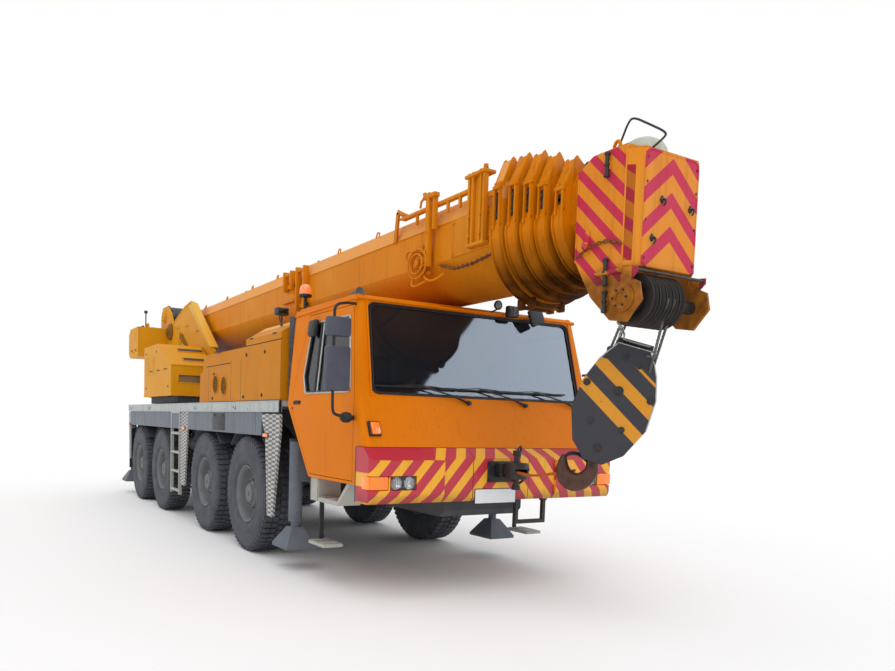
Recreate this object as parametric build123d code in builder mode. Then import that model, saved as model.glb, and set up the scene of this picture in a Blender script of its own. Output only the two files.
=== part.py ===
"""Four-axle all-terrain mobile crane with a six-section telescopic boom, parked on its wheels.

Frame: +X forward, +Y left, +Z up, millimetres, origin on the ground under the middle of its length.
"""

import os
from math import atan2, cos, degrees, hypot, radians, sin, sqrt

from build123d import *

# ---------------------------------------------------------------- driving dimensions
# carrier
HALF_WIDTH = 1375.0
SEAT_GAP = 0.3
AXLE_X = (1375.0, -275.0, -2715.0, -4365.0)
STEERED_AXLES = (1, 2)
DECK_TOP = 1740.0
DECK_THICKNESS = 60.0
DECK_REAR_X = -5325.0
DECK_FRONT_X = 2415.0
FRAME_HALF_WIDTH = 450.0
FRAME_BOTTOM = 900.0
FRAME_REAR_X = -5720.0
NOSE_BOTTOM = 700.0
NOSE_TOP = 930.0
NOSE_FRONT_X = 4099.7
SKIRT_BOTTOM = 1362.0

# wheels and axles
TYRE_RADIUS = 668.0
TYRE_WIDTH = 375.0
WHEEL_Y = HALF_WIDTH - TYRE_WIDTH / 2
RIM_RADIUS = 317.0
RIM_WALL = 20.0
RIM_WIDTH = 300.0
HUB_RADIUS = 140.0
BEAD_GAP = 0.3
SPINDLE_RADIUS = 50.0
BRAKE_RADIUS = 200.0
BRAKE_INNER = WHEEL_Y - 175.5
BRAKE_OUTER = WHEEL_Y - 52.5
SPINDLE_END = WHEEL_Y + 60.0
KINGPIN_Y = WHEEL_Y - 262.5
KINGPIN_RADIUS = 30.0
AXLE_TUBE_RADIUS = 85.0
DIFFERENTIAL_RADIUS = 190.0
STRUT_Y = KINGPIN_Y - 275.0
STRUT_RADIUS = 55.0
STRUT_TOP = 1400.0

# driver's cab
CAB_HALF_WIDTH = 1360.0
CAB_WALL = 50.0
CAB_BELT_Z = 1680.0
CAB_BELT_RADIUS = 900.0
CAB_LEAN = 0.10
CAB_FLOOR_Z = 1010.0
CAB_ROOF_Z = 2650.0
CAB_REAR_X = 2560.0
WINDSCREEN_TOP = (3860.0, 2605.0)
WINDSCREEN_FOOT = (4055.0, 1770.0)
CAB_CREASE = (4240.0, 1340.0)
CAB_TOE_X = 4095.0
CAB_CORNER_RADIUS = 60.0
DOOR_GAP = 6.0
DOOR_FRONT_X = 4025.0
HINGE_X = 4012.0
HINGE_Y = 1350.0
HINGE_HEIGHTS = (1160.0, 1540.0)
HINGE_HALF = 40.0
DOOR_THICKNESS = 46.0
GLASS_THICKNESS = 8.0
GLASS_GAP = 0.5

# bumper
BUMPER_FRONT_X = 4365.0
BUMPER_BOTTOM = 870.0
BUMPER_LIP_Z = 1230.0
BUMPER_TOP = 1336.0

# engine hood behind the cab
HOOD_REAR_X = -525.0
HOOD_FRONT_X = 2400.0
HOOD_STEP_X = 1330.0
HOOD_LOW_TOP = 2370.0
HOOD_SIDE_TOP = 2450.0
HOOD_RIDGE_TOP = 2600.0
HOOD_RIDGE_HALF = 1120.0
HOOD_WALL = 30.0

# outriggers
OUTRIGGER_BEAM_WIDTH = 135.0
OUTRIGGER_BEAM_HEIGHT = 300.0
OUTRIGGER_CLEARANCE = 5.0
OUTRIGGER_WALL = 10.0
OUTRIGGER_BOX_HALF = 1120.0
OUTRIGGER_BOX_BOTTOM = 900.0
OUTRIGGER_BEAM_INNER = 1000.0
FRONT_BOX_X = 2475.0
REAR_BOX_X = -5660.0
JACK_Y = 1235.0
JACK_RADIUS = 70.0
JACK_BOTTOM = 500.0
JACK_TOP = 1320.0
JACK_ROD_RADIUS = 45.0
JACK_ROD_CLEARANCE = 1.0
FOOT_BOTTOM = 230.0
FOOT_HALF = 170.0

# superstructure
SLEW_X = -3125.0
SLEW_RING_RADIUS = 720.0
SLEW_RING_HEIGHT = 119.7
SLEW_GAP = 0.3
TURNTABLE_PLATE = 60.0
SIDE_PLATE_INNER = 570.0
SIDE_PLATE_OUTER = 610.0
PIVOT = (-4525.0, 2950.0)
PIVOT_PIN_RADIUS = 70.0
RUNNING_FIT = 0.06
HOUSE_INNER = 640.0
HOUSE_OUTER = 1360.0
HOUSE_BOTTOM = 1920.3
TAIL_REAR_X = -6225.0
TAIL_FRONT_X = -5360.0
TAIL_BOTTOM = 2700.0
TAIL_TOP = 3280.0
TAIL_HALF = 1200.0
DRUM_X = -5650.0
DRUM_RADIUS = 190.0
DRUM_FLANGE_RADIUS = 235.0
CRANE_CAB_WALL = 40.0

# luffing cylinder, from its foot on the turntable to its eye under the boom
LUFF_FOOT = (-3525.0, 2070.0)
LUFF_EYE = (-925.0, 2570.0)
BARREL_RADIUS = 115.0
BARREL_FRONT_GAP = 190.0
LUFF_ROD_RADIUS = 80.0
LUFF_EYE_RADIUS = 85.0
LUFF_EYE_HALF = LUFF_ROD_RADIUS + 2.0
EYE_PIN_RADIUS = 32.0
EYE_SLOT_GAP = 15.0
EYE_SLOT_REAR = 110.0

# boom
BOOM_HALF = 450.0
BOOM_TOP = 3500.0
BOOM_BOTTOM = 2700.0
BOOM_CREASE = 3010.0
BOOM_BEVEL_Z = 3330.0
BOOM_BEVEL_Y = 380.0
BOOM_REAR_X = -4700.0
BOOM_WALL = 10.0
SECTION_STEP = 22.0
SECTION_REAR_X = -4250.0
SECTION_REAR_STEP = 60.0
COLLAR_LENGTH = 100.0
SLIDE_LIP = 80.0
COLLAR_X = (4850.0, 5000.0, 5140.0, 5265.0, 5420.0)
COLLAR_HALF = 530.0
COLLAR_STEP = 30.0
COLLAR_BOTTOM = 2560.0
COLLAR_SHOULDER = 3040.0
COLLAR_PEAKS = (3640.0, 3635.0, 3615.0, 3570.0, 3505.0)

# boom head and hook block
HEAD_REAR_X = 5490.0
HEAD_PLATE_OUTER = 355.0
HEAD_PLATE = 20.0
HEAD_FRONT_X = 6015.0
HEAD_CORNER_X = 5930.0
HEAD_TOP = 3450.0
COVER_HALF = 265.0
COVER_BOTTOM = 2645.0
SHEAVE_CENTRE = (5955.0, 2425.0)
SHEAVE_RADIUS = 180.0
SHEAVE_MIDDLE_Y = -110.0
SHEAVE_COUNT = 5
SHEAVE_PITCH = 66.0
SHEAVE_THICKNESS = 54.0
SHAFT_RADIUS = 45.0
BLOCK_CENTRE = (5602.0, 1719.0)
BLOCK_TILT = radians(17.0)
BLOCK_TURN = 40.0
BLOCK_HALF_WIDTH = 276.0
BLOCK_HALF_HEIGHT = 440.0
BLOCK_PLATE_INNER = 120.0
BLOCK_PLATE_OUTER = 150.0

SIDES = {"right": -1, "left": 1}
DECK_BOTTOM = DECK_TOP - DECK_THICKNESS
BIG = 20000.0


# ---------------------------------------------------------------- small helpers
def save(builder, name):
    """Label a finished piece and write it as its own STEP file."""
    builder.part.label = name
    export_step(builder.part, f"parts/{name}.step")


def block(x, y, z, mode=Mode.ADD):
    """Box between two corners; each argument is a (low, high) pair."""
    with Locations(((x[0] + x[1]) / 2, (y[0] + y[1]) / 2, (z[0] + z[1]) / 2)):
        Box(x[1] - x[0], y[1] - y[0], z[1] - z[0], mode=mode)


def mirrored(low, high, side):
    """The y range between two distances from the middle plane, on one side."""
    return (low, high) if side > 0 else (-high, -low)


def plate(points, y, mode=Mode.ADD):
    """Plate whose outline is a list of (x, z) points, between two y values."""
    with BuildSketch(Plane.XZ.offset(-y[1])) as face:
        with BuildLine():
            Polyline(*points, close=True)
        make_face()
    extrude(face.sketch, amount=y[1] - y[0], mode=mode)


def cross_rod(centre, radius, y, mode=Mode.ADD):
    """Round bar along Y through an (x, z) point, between two y values."""
    with BuildSketch(Plane.XZ.offset(-y[1])) as face:
        with Locations(centre):
            Circle(radius)
    extrude(face.sketch, amount=y[1] - y[0], mode=mode)


def upright(x, y, radius, z, mode=Mode.ADD):
    """Round bar along Z between two heights."""
    with BuildSketch(Plane.XY.offset(z[0])) as face:
        with Locations((x, y)):
            Circle(radius)
    extrude(face.sketch, amount=z[1] - z[0], mode=mode)


def rod(start, end, radius):
    """Round bar between two points."""
    way = [end[i] - start[i] for i in range(3)]
    with BuildSketch(Plane(origin=start, z_dir=way)) as face:
        Circle(radius)
    extrude(face.sketch, amount=sqrt(sum(step**2 for step in way)))


def wheel_lathe(points, side):
    """Turn an outline of (radius, distance from the middle plane) about the Y axis."""
    with BuildSketch(Plane.YZ) as face:
        with BuildLine():
            Polyline(*[(side * out, radius) for radius, out in points], close=True)
        make_face()
    revolve(face.sketch, axis=Axis.Y)


# ---------------------------------------------------------------- wheels
def tyre_outline():
    """Tyre section: bead, bulged sidewall, shoulder and tread, as (radius, y) points."""
    bead = RIM_RADIUS + BEAD_GAP
    inner = WHEEL_Y - TYRE_WIDTH / 2
    outer = WHEEL_Y + TYRE_WIDTH / 2
    narrow = 45.0
    shoulder = 30.0
    return [
        (bead, inner + narrow),
        (bead + 90, inner + 4),
        (bead + 170, inner),
        (TYRE_RADIUS - 60, inner + 10),
        (TYRE_RADIUS - 8, inner + shoulder + 10),
        (TYRE_RADIUS, inner + shoulder + 50),
        (TYRE_RADIUS, outer - shoulder - 50),
        (TYRE_RADIUS - 8, outer - shoulder - 10),
        (TYRE_RADIUS - 60, outer - 10),
        (bead + 170, outer),
        (bead + 90, outer - 4),
        (bead, outer - narrow),
    ]


def rim_outline():
    """Rim barrel with its dished disc and hub, as (radius, y) points."""
    inner = WHEEL_Y - RIM_WIDTH / 2
    outer = WHEEL_Y + RIM_WIDTH / 2
    disc = WHEEL_Y + 20
    return [
        (SPINDLE_RADIUS + 1, disc - 45),
        (HUB_RADIUS, disc - 45),
        (HUB_RADIUS + 30, disc),
        (RIM_RADIUS - RIM_WALL, disc - 10),
        (RIM_RADIUS - RIM_WALL, inner),
        (RIM_RADIUS, inner),
        (RIM_RADIUS, outer),
        (RIM_RADIUS - RIM_WALL, outer),
        (RIM_RADIUS - RIM_WALL, disc + 20),
        (HUB_RADIUS + 30, disc + 30),
        (HUB_RADIUS, disc + 75),
        (0.0, disc + 75),
        (0.0, disc + 45),
        (SPINDLE_RADIUS + 1, disc + 45),
    ]


def knuckle_outline():
    """Brake drum and stub axle of one wheel end, as (radius, y) points."""
    return [
        (0.0, KINGPIN_Y),
        (60.0, KINGPIN_Y),
        (60.0, BRAKE_INNER),
        (BRAKE_RADIUS, BRAKE_INNER),
        (BRAKE_RADIUS, BRAKE_OUTER),
        (SPINDLE_RADIUS, BRAKE_OUTER),
        (SPINDLE_RADIUS, SPINDLE_END),
        (0.0, SPINDLE_END),
    ]


os.makedirs("parts", exist_ok=True)

for number, axle_x in enumerate(AXLE_X, start=1):
    axle_place = Location((axle_x, 0, TYRE_RADIUS))
    for side_name, side in SIDES.items():
        with BuildPart() as wheel:
            wheel_lathe(tyre_outline(), side)
            wheel_lathe(rim_outline(), side)
        wheel.part.locate(axle_place)
        save(wheel, f"wheel_{number}_{side_name}")

        if number in STEERED_AXLES:
            with BuildPart() as knuckle:
                wheel_lathe(knuckle_outline(), side)
                upright(0, side * KINGPIN_Y, 70.0, (-124.0, 124.0))
                upright(0, side * KINGPIN_Y, KINGPIN_RADIUS, (-160.0, 160.0))
            knuckle.part.locate(axle_place)
            save(knuckle, f"knuckle_{number}_{side_name}")

YOKE_ARM = (130.0, 165.0)
YOKE_HALF = 45.0
YOKE_WEB_Y = (KINGPIN_Y - 165, KINGPIN_Y - 85)
with BuildPart() as axle_beams:
    for number, axle_x in enumerate(AXLE_X, start=1):
        steered = number in STEERED_AXLES
        tube_half = YOKE_WEB_Y[0] + 40 if steered else KINGPIN_Y + 60
        with Locations((axle_x, 0, TYRE_RADIUS)):
            Sphere(DIFFERENTIAL_RADIUS)
            Cylinder(AXLE_TUBE_RADIUS, 2 * tube_half, rotation=(90, 0, 0))
        for side in SIDES.values():
            upright(axle_x, side * STRUT_Y, STRUT_RADIUS, (TYRE_RADIUS, STRUT_TOP))
            if steered:
                arm = (axle_x - YOKE_HALF, axle_x + YOKE_HALF)
                web = mirrored(*YOKE_WEB_Y, side)
                block(arm, web, (TYRE_RADIUS - YOKE_ARM[1], TYRE_RADIUS + YOKE_ARM[1]))
                for up in (-1, 1):
                    low, high = sorted((up * YOKE_ARM[0], up * YOKE_ARM[1]))
                    reach = mirrored(YOKE_WEB_Y[0], KINGPIN_Y + 60, side)
                    block(arm, reach, (TYRE_RADIUS + low, TYRE_RADIUS + high))
                span = (TYRE_RADIUS - YOKE_ARM[1], TYRE_RADIUS + YOKE_ARM[1])
                hole = KINGPIN_RADIUS + RUNNING_FIT
                upright(axle_x, side * KINGPIN_Y, hole, span, Mode.SUBTRACT)
            else:
                drum = mirrored(BRAKE_INNER, BRAKE_OUTER, side)
                cross_rod((axle_x, TYRE_RADIUS), BRAKE_RADIUS, drum)
                stub = mirrored(KINGPIN_Y, SPINDLE_END, side)
                cross_rod((axle_x, TYRE_RADIUS), SPINDLE_RADIUS, stub)
save(axle_beams, "axle_beams")

# ---------------------------------------------------------------- outriggers
TUNNEL_WIDTH = OUTRIGGER_BEAM_WIDTH + 2 * OUTRIGGER_CLEARANCE
TUNNEL_HEIGHT = OUTRIGGER_BEAM_HEIGHT + 2 * OUTRIGGER_CLEARANCE
BOX_WIDTH = 2 * TUNNEL_WIDTH + 3 * OUTRIGGER_WALL
BOX_HEIGHT = TUNNEL_HEIGHT + 2 * OUTRIGGER_WALL
BOX_Z = (OUTRIGGER_BOX_BOTTOM, OUTRIGGER_BOX_BOTTOM + BOX_HEIGHT)
BEAM_SEAT = OUTRIGGER_WALL + OUTRIGGER_CLEARANCE
BEAM_Z = (BOX_Z[0] + OUTRIGGER_WALL + SEAT_GAP, BOX_Z[1] - BEAM_SEAT)
BOX_STATIONS = {"front": FRONT_BOX_X, "rear": REAR_BOX_X}


def beam_centre(box_x, side):
    """Fore and aft place of a beam: the right one is behind the left one."""
    right = box_x + OUTRIGGER_WALL + TUNNEL_WIDTH / 2
    return right if side < 0 else right + TUNNEL_WIDTH + OUTRIGGER_WALL


with BuildPart() as outrigger_boxes:
    for box_x in BOX_STATIONS.values():
        box_span = (-OUTRIGGER_BOX_HALF, OUTRIGGER_BOX_HALF)
        block((box_x, box_x + BOX_WIDTH), box_span, BOX_Z)
        for side in SIDES.values():
            centre = beam_centre(box_x, side)
            tunnel = (centre - TUNNEL_WIDTH / 2, centre + TUNNEL_WIDTH / 2)
            tunnel_z = (BOX_Z[0] + OUTRIGGER_WALL, BOX_Z[1] - OUTRIGGER_WALL)
            block(tunnel, box_span, tunnel_z, Mode.SUBTRACT)
save(outrigger_boxes, "outrigger_boxes")

for end_name, box_x in BOX_STATIONS.items():
    for side_name, side in SIDES.items():
        centre = beam_centre(box_x, side)
        with BuildPart() as outrigger_beam:
            beam_x = (centre - OUTRIGGER_BEAM_WIDTH / 2, centre + OUTRIGGER_BEAM_WIDTH / 2)
            beam_y = sorted((-side * OUTRIGGER_BEAM_INNER, side * JACK_Y))
            block(beam_x, beam_y, BEAM_Z)
            upright(centre, side * JACK_Y, JACK_RADIUS, (JACK_BOTTOM, JACK_TOP))
            bore = JACK_ROD_RADIUS + JACK_ROD_CLEARANCE
            upright(centre, side * JACK_Y, bore, (JACK_BOTTOM, JACK_TOP - 40), Mode.SUBTRACT)
        save(outrigger_beam, f"outrigger_beam_{end_name}_{side_name}")

        with BuildPart() as jack_leg:
            upright(centre, side * JACK_Y, JACK_ROD_RADIUS, (FOOT_BOTTOM + 150, JACK_TOP - 60))
            with BuildSketch(Plane.XY.offset(FOOT_BOTTOM + 30)):
                with Locations((centre, side * JACK_Y)):
                    Rectangle(2 * FOOT_HALF + 60, 2 * FOOT_HALF)
            with BuildSketch(Plane.XY.offset(FOOT_BOTTOM + 210)):
                with Locations((centre, side * JACK_Y)):
                    Rectangle(130, 130)
            loft()
            foot_x = (centre - FOOT_HALF - 30, centre + FOOT_HALF + 30)
            foot_y = (side * JACK_Y - FOOT_HALF, side * JACK_Y + FOOT_HALF)
            block(foot_x, foot_y, (FOOT_BOTTOM, FOOT_BOTTOM + 30))
        save(jack_leg, f"jack_leg_{end_name}_{side_name}")

# ---------------------------------------------------------------- carrier frame and deck
FRAME_SIDE = [
    (FRAME_REAR_X, 1050),
    (FRAME_REAR_X + 250, FRAME_BOTTOM - 20),
    (2330, FRAME_BOTTOM - 20),
    (2460, NOSE_BOTTOM),
    (NOSE_FRONT_X - 60, NOSE_BOTTOM),
    (NOSE_FRONT_X, NOSE_BOTTOM + 60),
    (NOSE_FRONT_X, NOSE_TOP),
    (2880, NOSE_TOP),
    (2880, BOX_Z[1] + 20),
    (DECK_FRONT_X, BOX_Z[1] + 20),
    (DECK_FRONT_X, DECK_BOTTOM),
    (FRAME_REAR_X, DECK_BOTTOM),
]
with BuildPart() as chassis_frame:
    plate(FRAME_SIDE, (-FRAME_HALF_WIDTH, FRAME_HALF_WIDTH))
    for axle_x in AXLE_X:
        for side in SIDES.values():
            ledge = mirrored(FRAME_HALF_WIDTH, STRUT_Y + 75, side)
            block((axle_x - 90, axle_x + 90), ledge, (STRUT_TOP, STRUT_TOP + 60))
    # rubber mounts that carry the cab on the nose
    for mount_x in (3300, 3940):
        for side in SIDES.values():
            mount_y = mirrored(250, 400, side)
            block((mount_x, mount_x + 120), mount_y, (NOSE_TOP, CAB_FLOOR_Z - SEAT_GAP))
    for box_x in BOX_STATIONS.values():
        tunnel = (box_x, box_x + BOX_WIDTH)
        block(tunnel, (-FRAME_HALF_WIDTH, FRAME_HALF_WIDTH), BOX_Z, Mode.SUBTRACT)
save(chassis_frame, "chassis_frame")

SKIRT_Y = (HALF_WIDTH - 35, HALF_WIDTH - 10)
GUARDS = {
    "front": [
        (1850, 1600),
        (DECK_FRONT_X, 1600),
        (DECK_FRONT_X, 1440),
        (2245, 500),
        (2085, 500),
        (2000, 1362),
    ],
    "middle": [(-1500, 1600), (-1080, 1600), (-1120, 1362), (-1240, 520), (-1480, 520)],
    "rear": [(-5325, 1600), (-5170, 1600), (-5170, 700), (-5290, 700)],
}
with BuildPart() as deck:
    deck_y = (-HALF_WIDTH, HALF_WIDTH)
    block((DECK_REAR_X, DECK_FRONT_X), deck_y, (DECK_BOTTOM, DECK_TOP))
    for side in SIDES.values():
        edge = mirrored(HALF_WIDTH - 30, HALF_WIDTH, side)
        skirt = mirrored(*SKIRT_Y, side)
        block((DECK_REAR_X, DECK_FRONT_X), edge, (1620, DECK_BOTTOM))
        block((DECK_REAR_X + 100, 1880), skirt, (SKIRT_BOTTOM, DECK_BOTTOM))
        for outline in GUARDS.values():
            plate(outline, skirt)
save(deck, "deck")

LADDER_X = (-2020.0, -1540.0)
with BuildPart() as access_ladders:
    for side in SIDES.values():
        rail_y = mirrored(HALF_WIDTH - 45, HALF_WIDTH, side)
        for rail_x in LADDER_X:
            rail = (rail_x - 15, rail_x + 15)
            block(rail, rail_y, (360, SKIRT_BOTTOM - SEAT_GAP))
        for rung in range(4):
            rung_z = 400 + 290 * rung
            block(LADDER_X, rail_y, (rung_z, rung_z + 30))
        # stirrup under the door: two hangers and a tread, then the low folding step
        tread_y = mirrored(1110, 1340, side)
        hanger_top = CAB_FLOOR_Z - SEAT_GAP
        block((3150, 3330), tread_y, (790, hanger_top))
        block((3330, 3720), tread_y, (790, 830))
        hanger = [(3720, 790), (3720, 830), (3900, hanger_top), (3960, hanger_top)]
        plate(hanger, tread_y)
        block((3110, 3440), mirrored(1130, 1330, side), (365, 395))
        block((3125, 3150), mirrored(1190, 1230, side), (395, hanger_top))
save(access_ladders, "access_ladders")

# ---------------------------------------------------------------- driver's cab
CAB_SIDE = [
    (3135, CAB_FLOOR_Z),
    (2600, 1690),
    (CAB_REAR_X, CAB_ROOF_Z - 20),
    (WINDSCREEN_TOP[0] - 50, CAB_ROOF_Z),
    WINDSCREEN_TOP,
    WINDSCREEN_FOOT,
    CAB_CREASE,
    (CAB_TOE_X, CAB_CREASE[1]),
    (CAB_TOE_X, CAB_FLOOR_Z),
]
DOOR_OPENING = [
    (2905, 2560),
    (2662, 1690),
    (3150, 1035),
    (DOOR_FRONT_X, 1035),
    (DOOR_FRONT_X, 1710),
    (3832, 2520),
    (3800, 2560),
]
DOOR_WINDOW = [
    (3000, 2470),
    (2925, 1960),
    (3005, 1800),
    (3930, 1800),
    (3785, 2455),
    (3765, 2470),
]
SCREEN_BOTTOM = (1205.0, 1790.0)
SCREEN_TOP = (1165.0, 2580.0)
SCREEN_CORNER = 60.0


def screen_opening(margin, mode):
    """Rounded windscreen outline seen from the front, pushed back through the cab's front."""
    bottom = (SCREEN_BOTTOM[0] - margin, SCREEN_BOTTOM[1] + margin)
    top = (SCREEN_TOP[0] - margin, SCREEN_TOP[1] - margin)
    with BuildSketch(Plane.YZ.offset(3750)) as face:
        with BuildLine():
            Polyline(bottom, top, (-top[0], top[1]), (-bottom[0], bottom[1]), close=True)
        make_face()
        fillet(face.vertices(), SCREEN_CORNER)
    extrude(face.sketch, amount=500, mode=mode)


def cab_half(z, inset):
    """Half width of the cab at a height, drawn in by a margin."""
    return CAB_HALF_WIDTH - inset - CAB_LEAN * max(0.0, z - CAB_BELT_Z)


def cab_band(inset):
    """Keep what lies between the cab's two sides, which lean in above the belt."""
    low, high = 0.0, 3000.0
    with BuildSketch(Plane.YZ.offset(2000)) as face:
        with BuildLine():
            Polyline(
                (-cab_half(low, inset), low),
                (-cab_half(CAB_BELT_Z, inset), CAB_BELT_Z),
                (-cab_half(high, inset), high),
                (cab_half(high, inset), high),
                (cab_half(CAB_BELT_Z, inset), CAB_BELT_Z),
                (cab_half(low, inset), low),
                close=True,
            )
        make_face()
        fillet(face.vertices().filter_by(lambda v: abs(v.Y - CAB_BELT_Z) < 1), CAB_BELT_RADIUS)
    extrude(face.sketch, amount=3000, mode=Mode.INTERSECT)


def cab_side_sheet(side, outer, inner):
    """Sheet that follows one side of the cab, between two depths in from its skin."""
    low, high = 900.0, 2700.0
    with BuildSketch(Plane.YZ.offset(2000)) as face:
        with BuildLine():
            Polyline(
                (side * cab_half(low, outer), low),
                (side * cab_half(CAB_BELT_Z, outer), CAB_BELT_Z),
                (side * cab_half(high, outer), high),
                (side * cab_half(high, inner), high),
                (side * cab_half(CAB_BELT_Z, inner), CAB_BELT_Z),
                (side * cab_half(low, inner), low),
                close=True,
            )
        make_face()
    extrude(face.sketch, amount=3000)


def inset_plate(points, inset, y, mode=Mode.ADD):
    """Plate with its outline drawn in by a margin."""
    with BuildSketch(Plane.XZ.offset(-y[1])) as face:
        with BuildLine():
            Polyline(*points, close=True)
        make_face()
        offset(amount=-inset, kind=Kind.INTERSECTION, mode=Mode.REPLACE)
    extrude(face.sketch, amount=y[1] - y[0], mode=mode)


CAB_SPAN = (-CAB_HALF_WIDTH, CAB_HALF_WIDTH)
with BuildPart() as cab_shell:
    plate(CAB_SIDE, CAB_SPAN)
    cab_band(0)
    front_corners = cab_shell.edges().filter_by(
        lambda e: abs(e.center().Y) > 1240
        and e.center().X > WINDSCREEN_TOP[0] + 20
        and CAB_CREASE[1] + 60 < e.center().Z < WINDSCREEN_TOP[1] - 60
    )
    fillet(front_corners, CAB_CORNER_RADIUS)
    with BuildPart(mode=Mode.SUBTRACT):
        inset_plate(CAB_SIDE, CAB_WALL, CAB_SPAN)
        cab_band(CAB_WALL)
    screen_opening(0, Mode.SUBTRACT)
    for side in SIDES.values():
        plate(DOOR_OPENING, mirrored(1190, CAB_HALF_WIDTH + 10, side), Mode.SUBTRACT)
save(cab_shell, "cab_shell")

screen_run = hypot(WINDSCREEN_FOOT[0] - WINDSCREEN_TOP[0], WINDSCREEN_FOOT[1] - WINDSCREEN_TOP[1])
SCREEN_NORMAL = (
    (WINDSCREEN_TOP[1] - WINDSCREEN_FOOT[1]) / screen_run,
    (WINDSCREEN_FOOT[0] - WINDSCREEN_TOP[0]) / screen_run,
)


def behind_screen(point, depth):
    """A point of the windscreen's outer plane moved into the cab."""
    return (point[0] - depth * SCREEN_NORMAL[0], point[1] - depth * SCREEN_NORMAL[1])


with BuildPart() as windscreen:
    pane = [
        behind_screen(WINDSCREEN_TOP, 12),
        behind_screen(WINDSCREEN_FOOT, 12),
        behind_screen(WINDSCREEN_FOOT, 12 + GLASS_THICKNESS),
        behind_screen(WINDSCREEN_TOP, 12 + GLASS_THICKNESS),
    ]
    plate(pane, (-CAB_HALF_WIDTH, CAB_HALF_WIDTH))
    screen_opening(GLASS_GAP, Mode.INTERSECT)
save(windscreen, "windscreen")

for side_name, side in SIDES.items():
    with BuildPart() as cab_door:
        cab_side_sheet(side, 0, DOOR_THICKNESS)
        inset_plate(DOOR_OPENING, DOOR_GAP, (-2000, 2000), Mode.INTERSECT)
        plate(DOOR_WINDOW, (-2000, 2000), Mode.SUBTRACT)
        knuckle_radius = DOOR_FRONT_X - HINGE_X - SEAT_GAP
        for height in HINGE_HEIGHTS:
            knuckle_z = (height - HINGE_HALF, height + HINGE_HALF)
            upright(HINGE_X, side * HINGE_Y, knuckle_radius, knuckle_z)
    save(cab_door, f"cab_door_{side_name}")

    with BuildPart() as door_glass:
        outer_face = (DOOR_THICKNESS - GLASS_THICKNESS) / 2
        cab_side_sheet(side, outer_face, outer_face + GLASS_THICKNESS)
        inset_plate(DOOR_WINDOW, GLASS_GAP, (-2000, 2000), Mode.INTERSECT)
    save(door_glass, f"door_glass_{side_name}")

CAB_INSIDE_FLOOR = CAB_FLOOR_Z + CAB_WALL
with BuildPart() as cab_interior:
    dash = [
        (3800, CAB_INSIDE_FLOOR),
        (3740, 1560),
        (3700, 1700),
        (3960, 1740),
        (4030, CAB_CREASE[1] + 60),
        (4030, CAB_INSIDE_FLOOR),
    ]
    plate(dash, (-1240, 1240))
    for side in SIDES.values():
        seat_y = mirrored(420, 920, side)
        block((3020, 3520), seat_y, (CAB_INSIDE_FLOOR + 250, CAB_INSIDE_FLOOR + 420))
        block((3200, 3480), mirrored(520, 820, side), (CAB_INSIDE_FLOOR, CAB_INSIDE_FLOOR + 250))
        back = [(3020, 1480), (2900, 2180), (3000, 2220), (3150, 1480)]
        plate(back, seat_y)
    # steering wheel on the left, on its raked column
    with BuildSketch(Plane(origin=(3640, 670, 1790), x_dir=(0, 1, 0), z_dir=(-0.62, 0, 0.78))):
        Circle(235)
        Circle(205, mode=Mode.SUBTRACT)
        Rectangle(420, 40)
        Circle(60)
    extrude(amount=30)
    with BuildSketch(Plane(origin=(3760, 670, 1640), x_dir=(0, 1, 0), z_dir=(-0.62, 0, 0.78))):
        Circle(35)
    extrude(amount=200)
save(cab_interior, "cab_interior")

# ---------------------------------------------------------------- bumper, lamps, coupling
BUMPER_BACK_X = CAB_TOE_X + 5
BUMPER_SIDE = [
    (BUMPER_BACK_X, BUMPER_BOTTOM),
    (BUMPER_BACK_X, BUMPER_TOP),
    (CAB_CREASE[0], BUMPER_TOP),
    (BUMPER_FRONT_X, BUMPER_LIP_Z),
    (BUMPER_FRONT_X, BUMPER_BOTTOM + 70),
    (BUMPER_FRONT_X - 50, BUMPER_BOTTOM),
]
POD_INNER = 640.0
POD_FRONT_X = BUMPER_FRONT_X
CENTRE_FRONT_X = BUMPER_FRONT_X - 25
LAMP_Z = (985.0, 1105.0)
LAMP_DEPTH = 60.0
LAMPS = {"headlamp": (925.0, 1185.0), "indicator": (1195.0, 1375.0)}
with BuildPart() as front_bumper:
    plate(BUMPER_SIDE, (-HALF_WIDTH, HALF_WIDTH))
    corner_edges = front_bumper.edges().filter_by(
        lambda e: abs(abs(e.center().Y) - HALF_WIDTH) < 1 and e.center().X > CAB_CREASE[0] + 20
    )
    fillet(corner_edges.filter_by(Axis.Z), 45)
    block((CENTRE_FRONT_X, BIG), (-POD_INNER, POD_INNER), (0, BIG), Mode.SUBTRACT)
    for side in SIDES.values():
        for low, high in LAMPS.values():
            pocket = mirrored(low, high + (10 if high == HALF_WIDTH else 0), side)
            block((POD_FRONT_X - LAMP_DEPTH, BIG), pocket, LAMP_Z, Mode.SUBTRACT)
save(front_bumper, "front_bumper")

with BuildPart() as lamps:
    for side in SIDES.values():
        for name, (low, high) in LAMPS.items():
            lens = mirrored(low + 5, high - 5, side)
            inset = 8 if name == "headlamp" else 20
            block((POD_FRONT_X - LAMP_DEPTH, POD_FRONT_X - inset), lens, (LAMP_Z[0] + 5, LAMP_Z[1] - 5))
        tail = mirrored(900, 1250, side)
        block((DECK_REAR_X - 40, DECK_REAR_X), tail, (DECK_BOTTOM - 60, DECK_BOTTOM + 50))
    # warning beacon on its stem at the rear right corner of the roof
    upright(2620, -1200, 18, (CAB_ROOF_Z - 18.4, CAB_ROOF_Z + 90))
    upright(2620, -1200, 62, (CAB_ROOF_Z + 90, CAB_ROOF_Z + 210))
save(lamps, "lamps")

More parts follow.
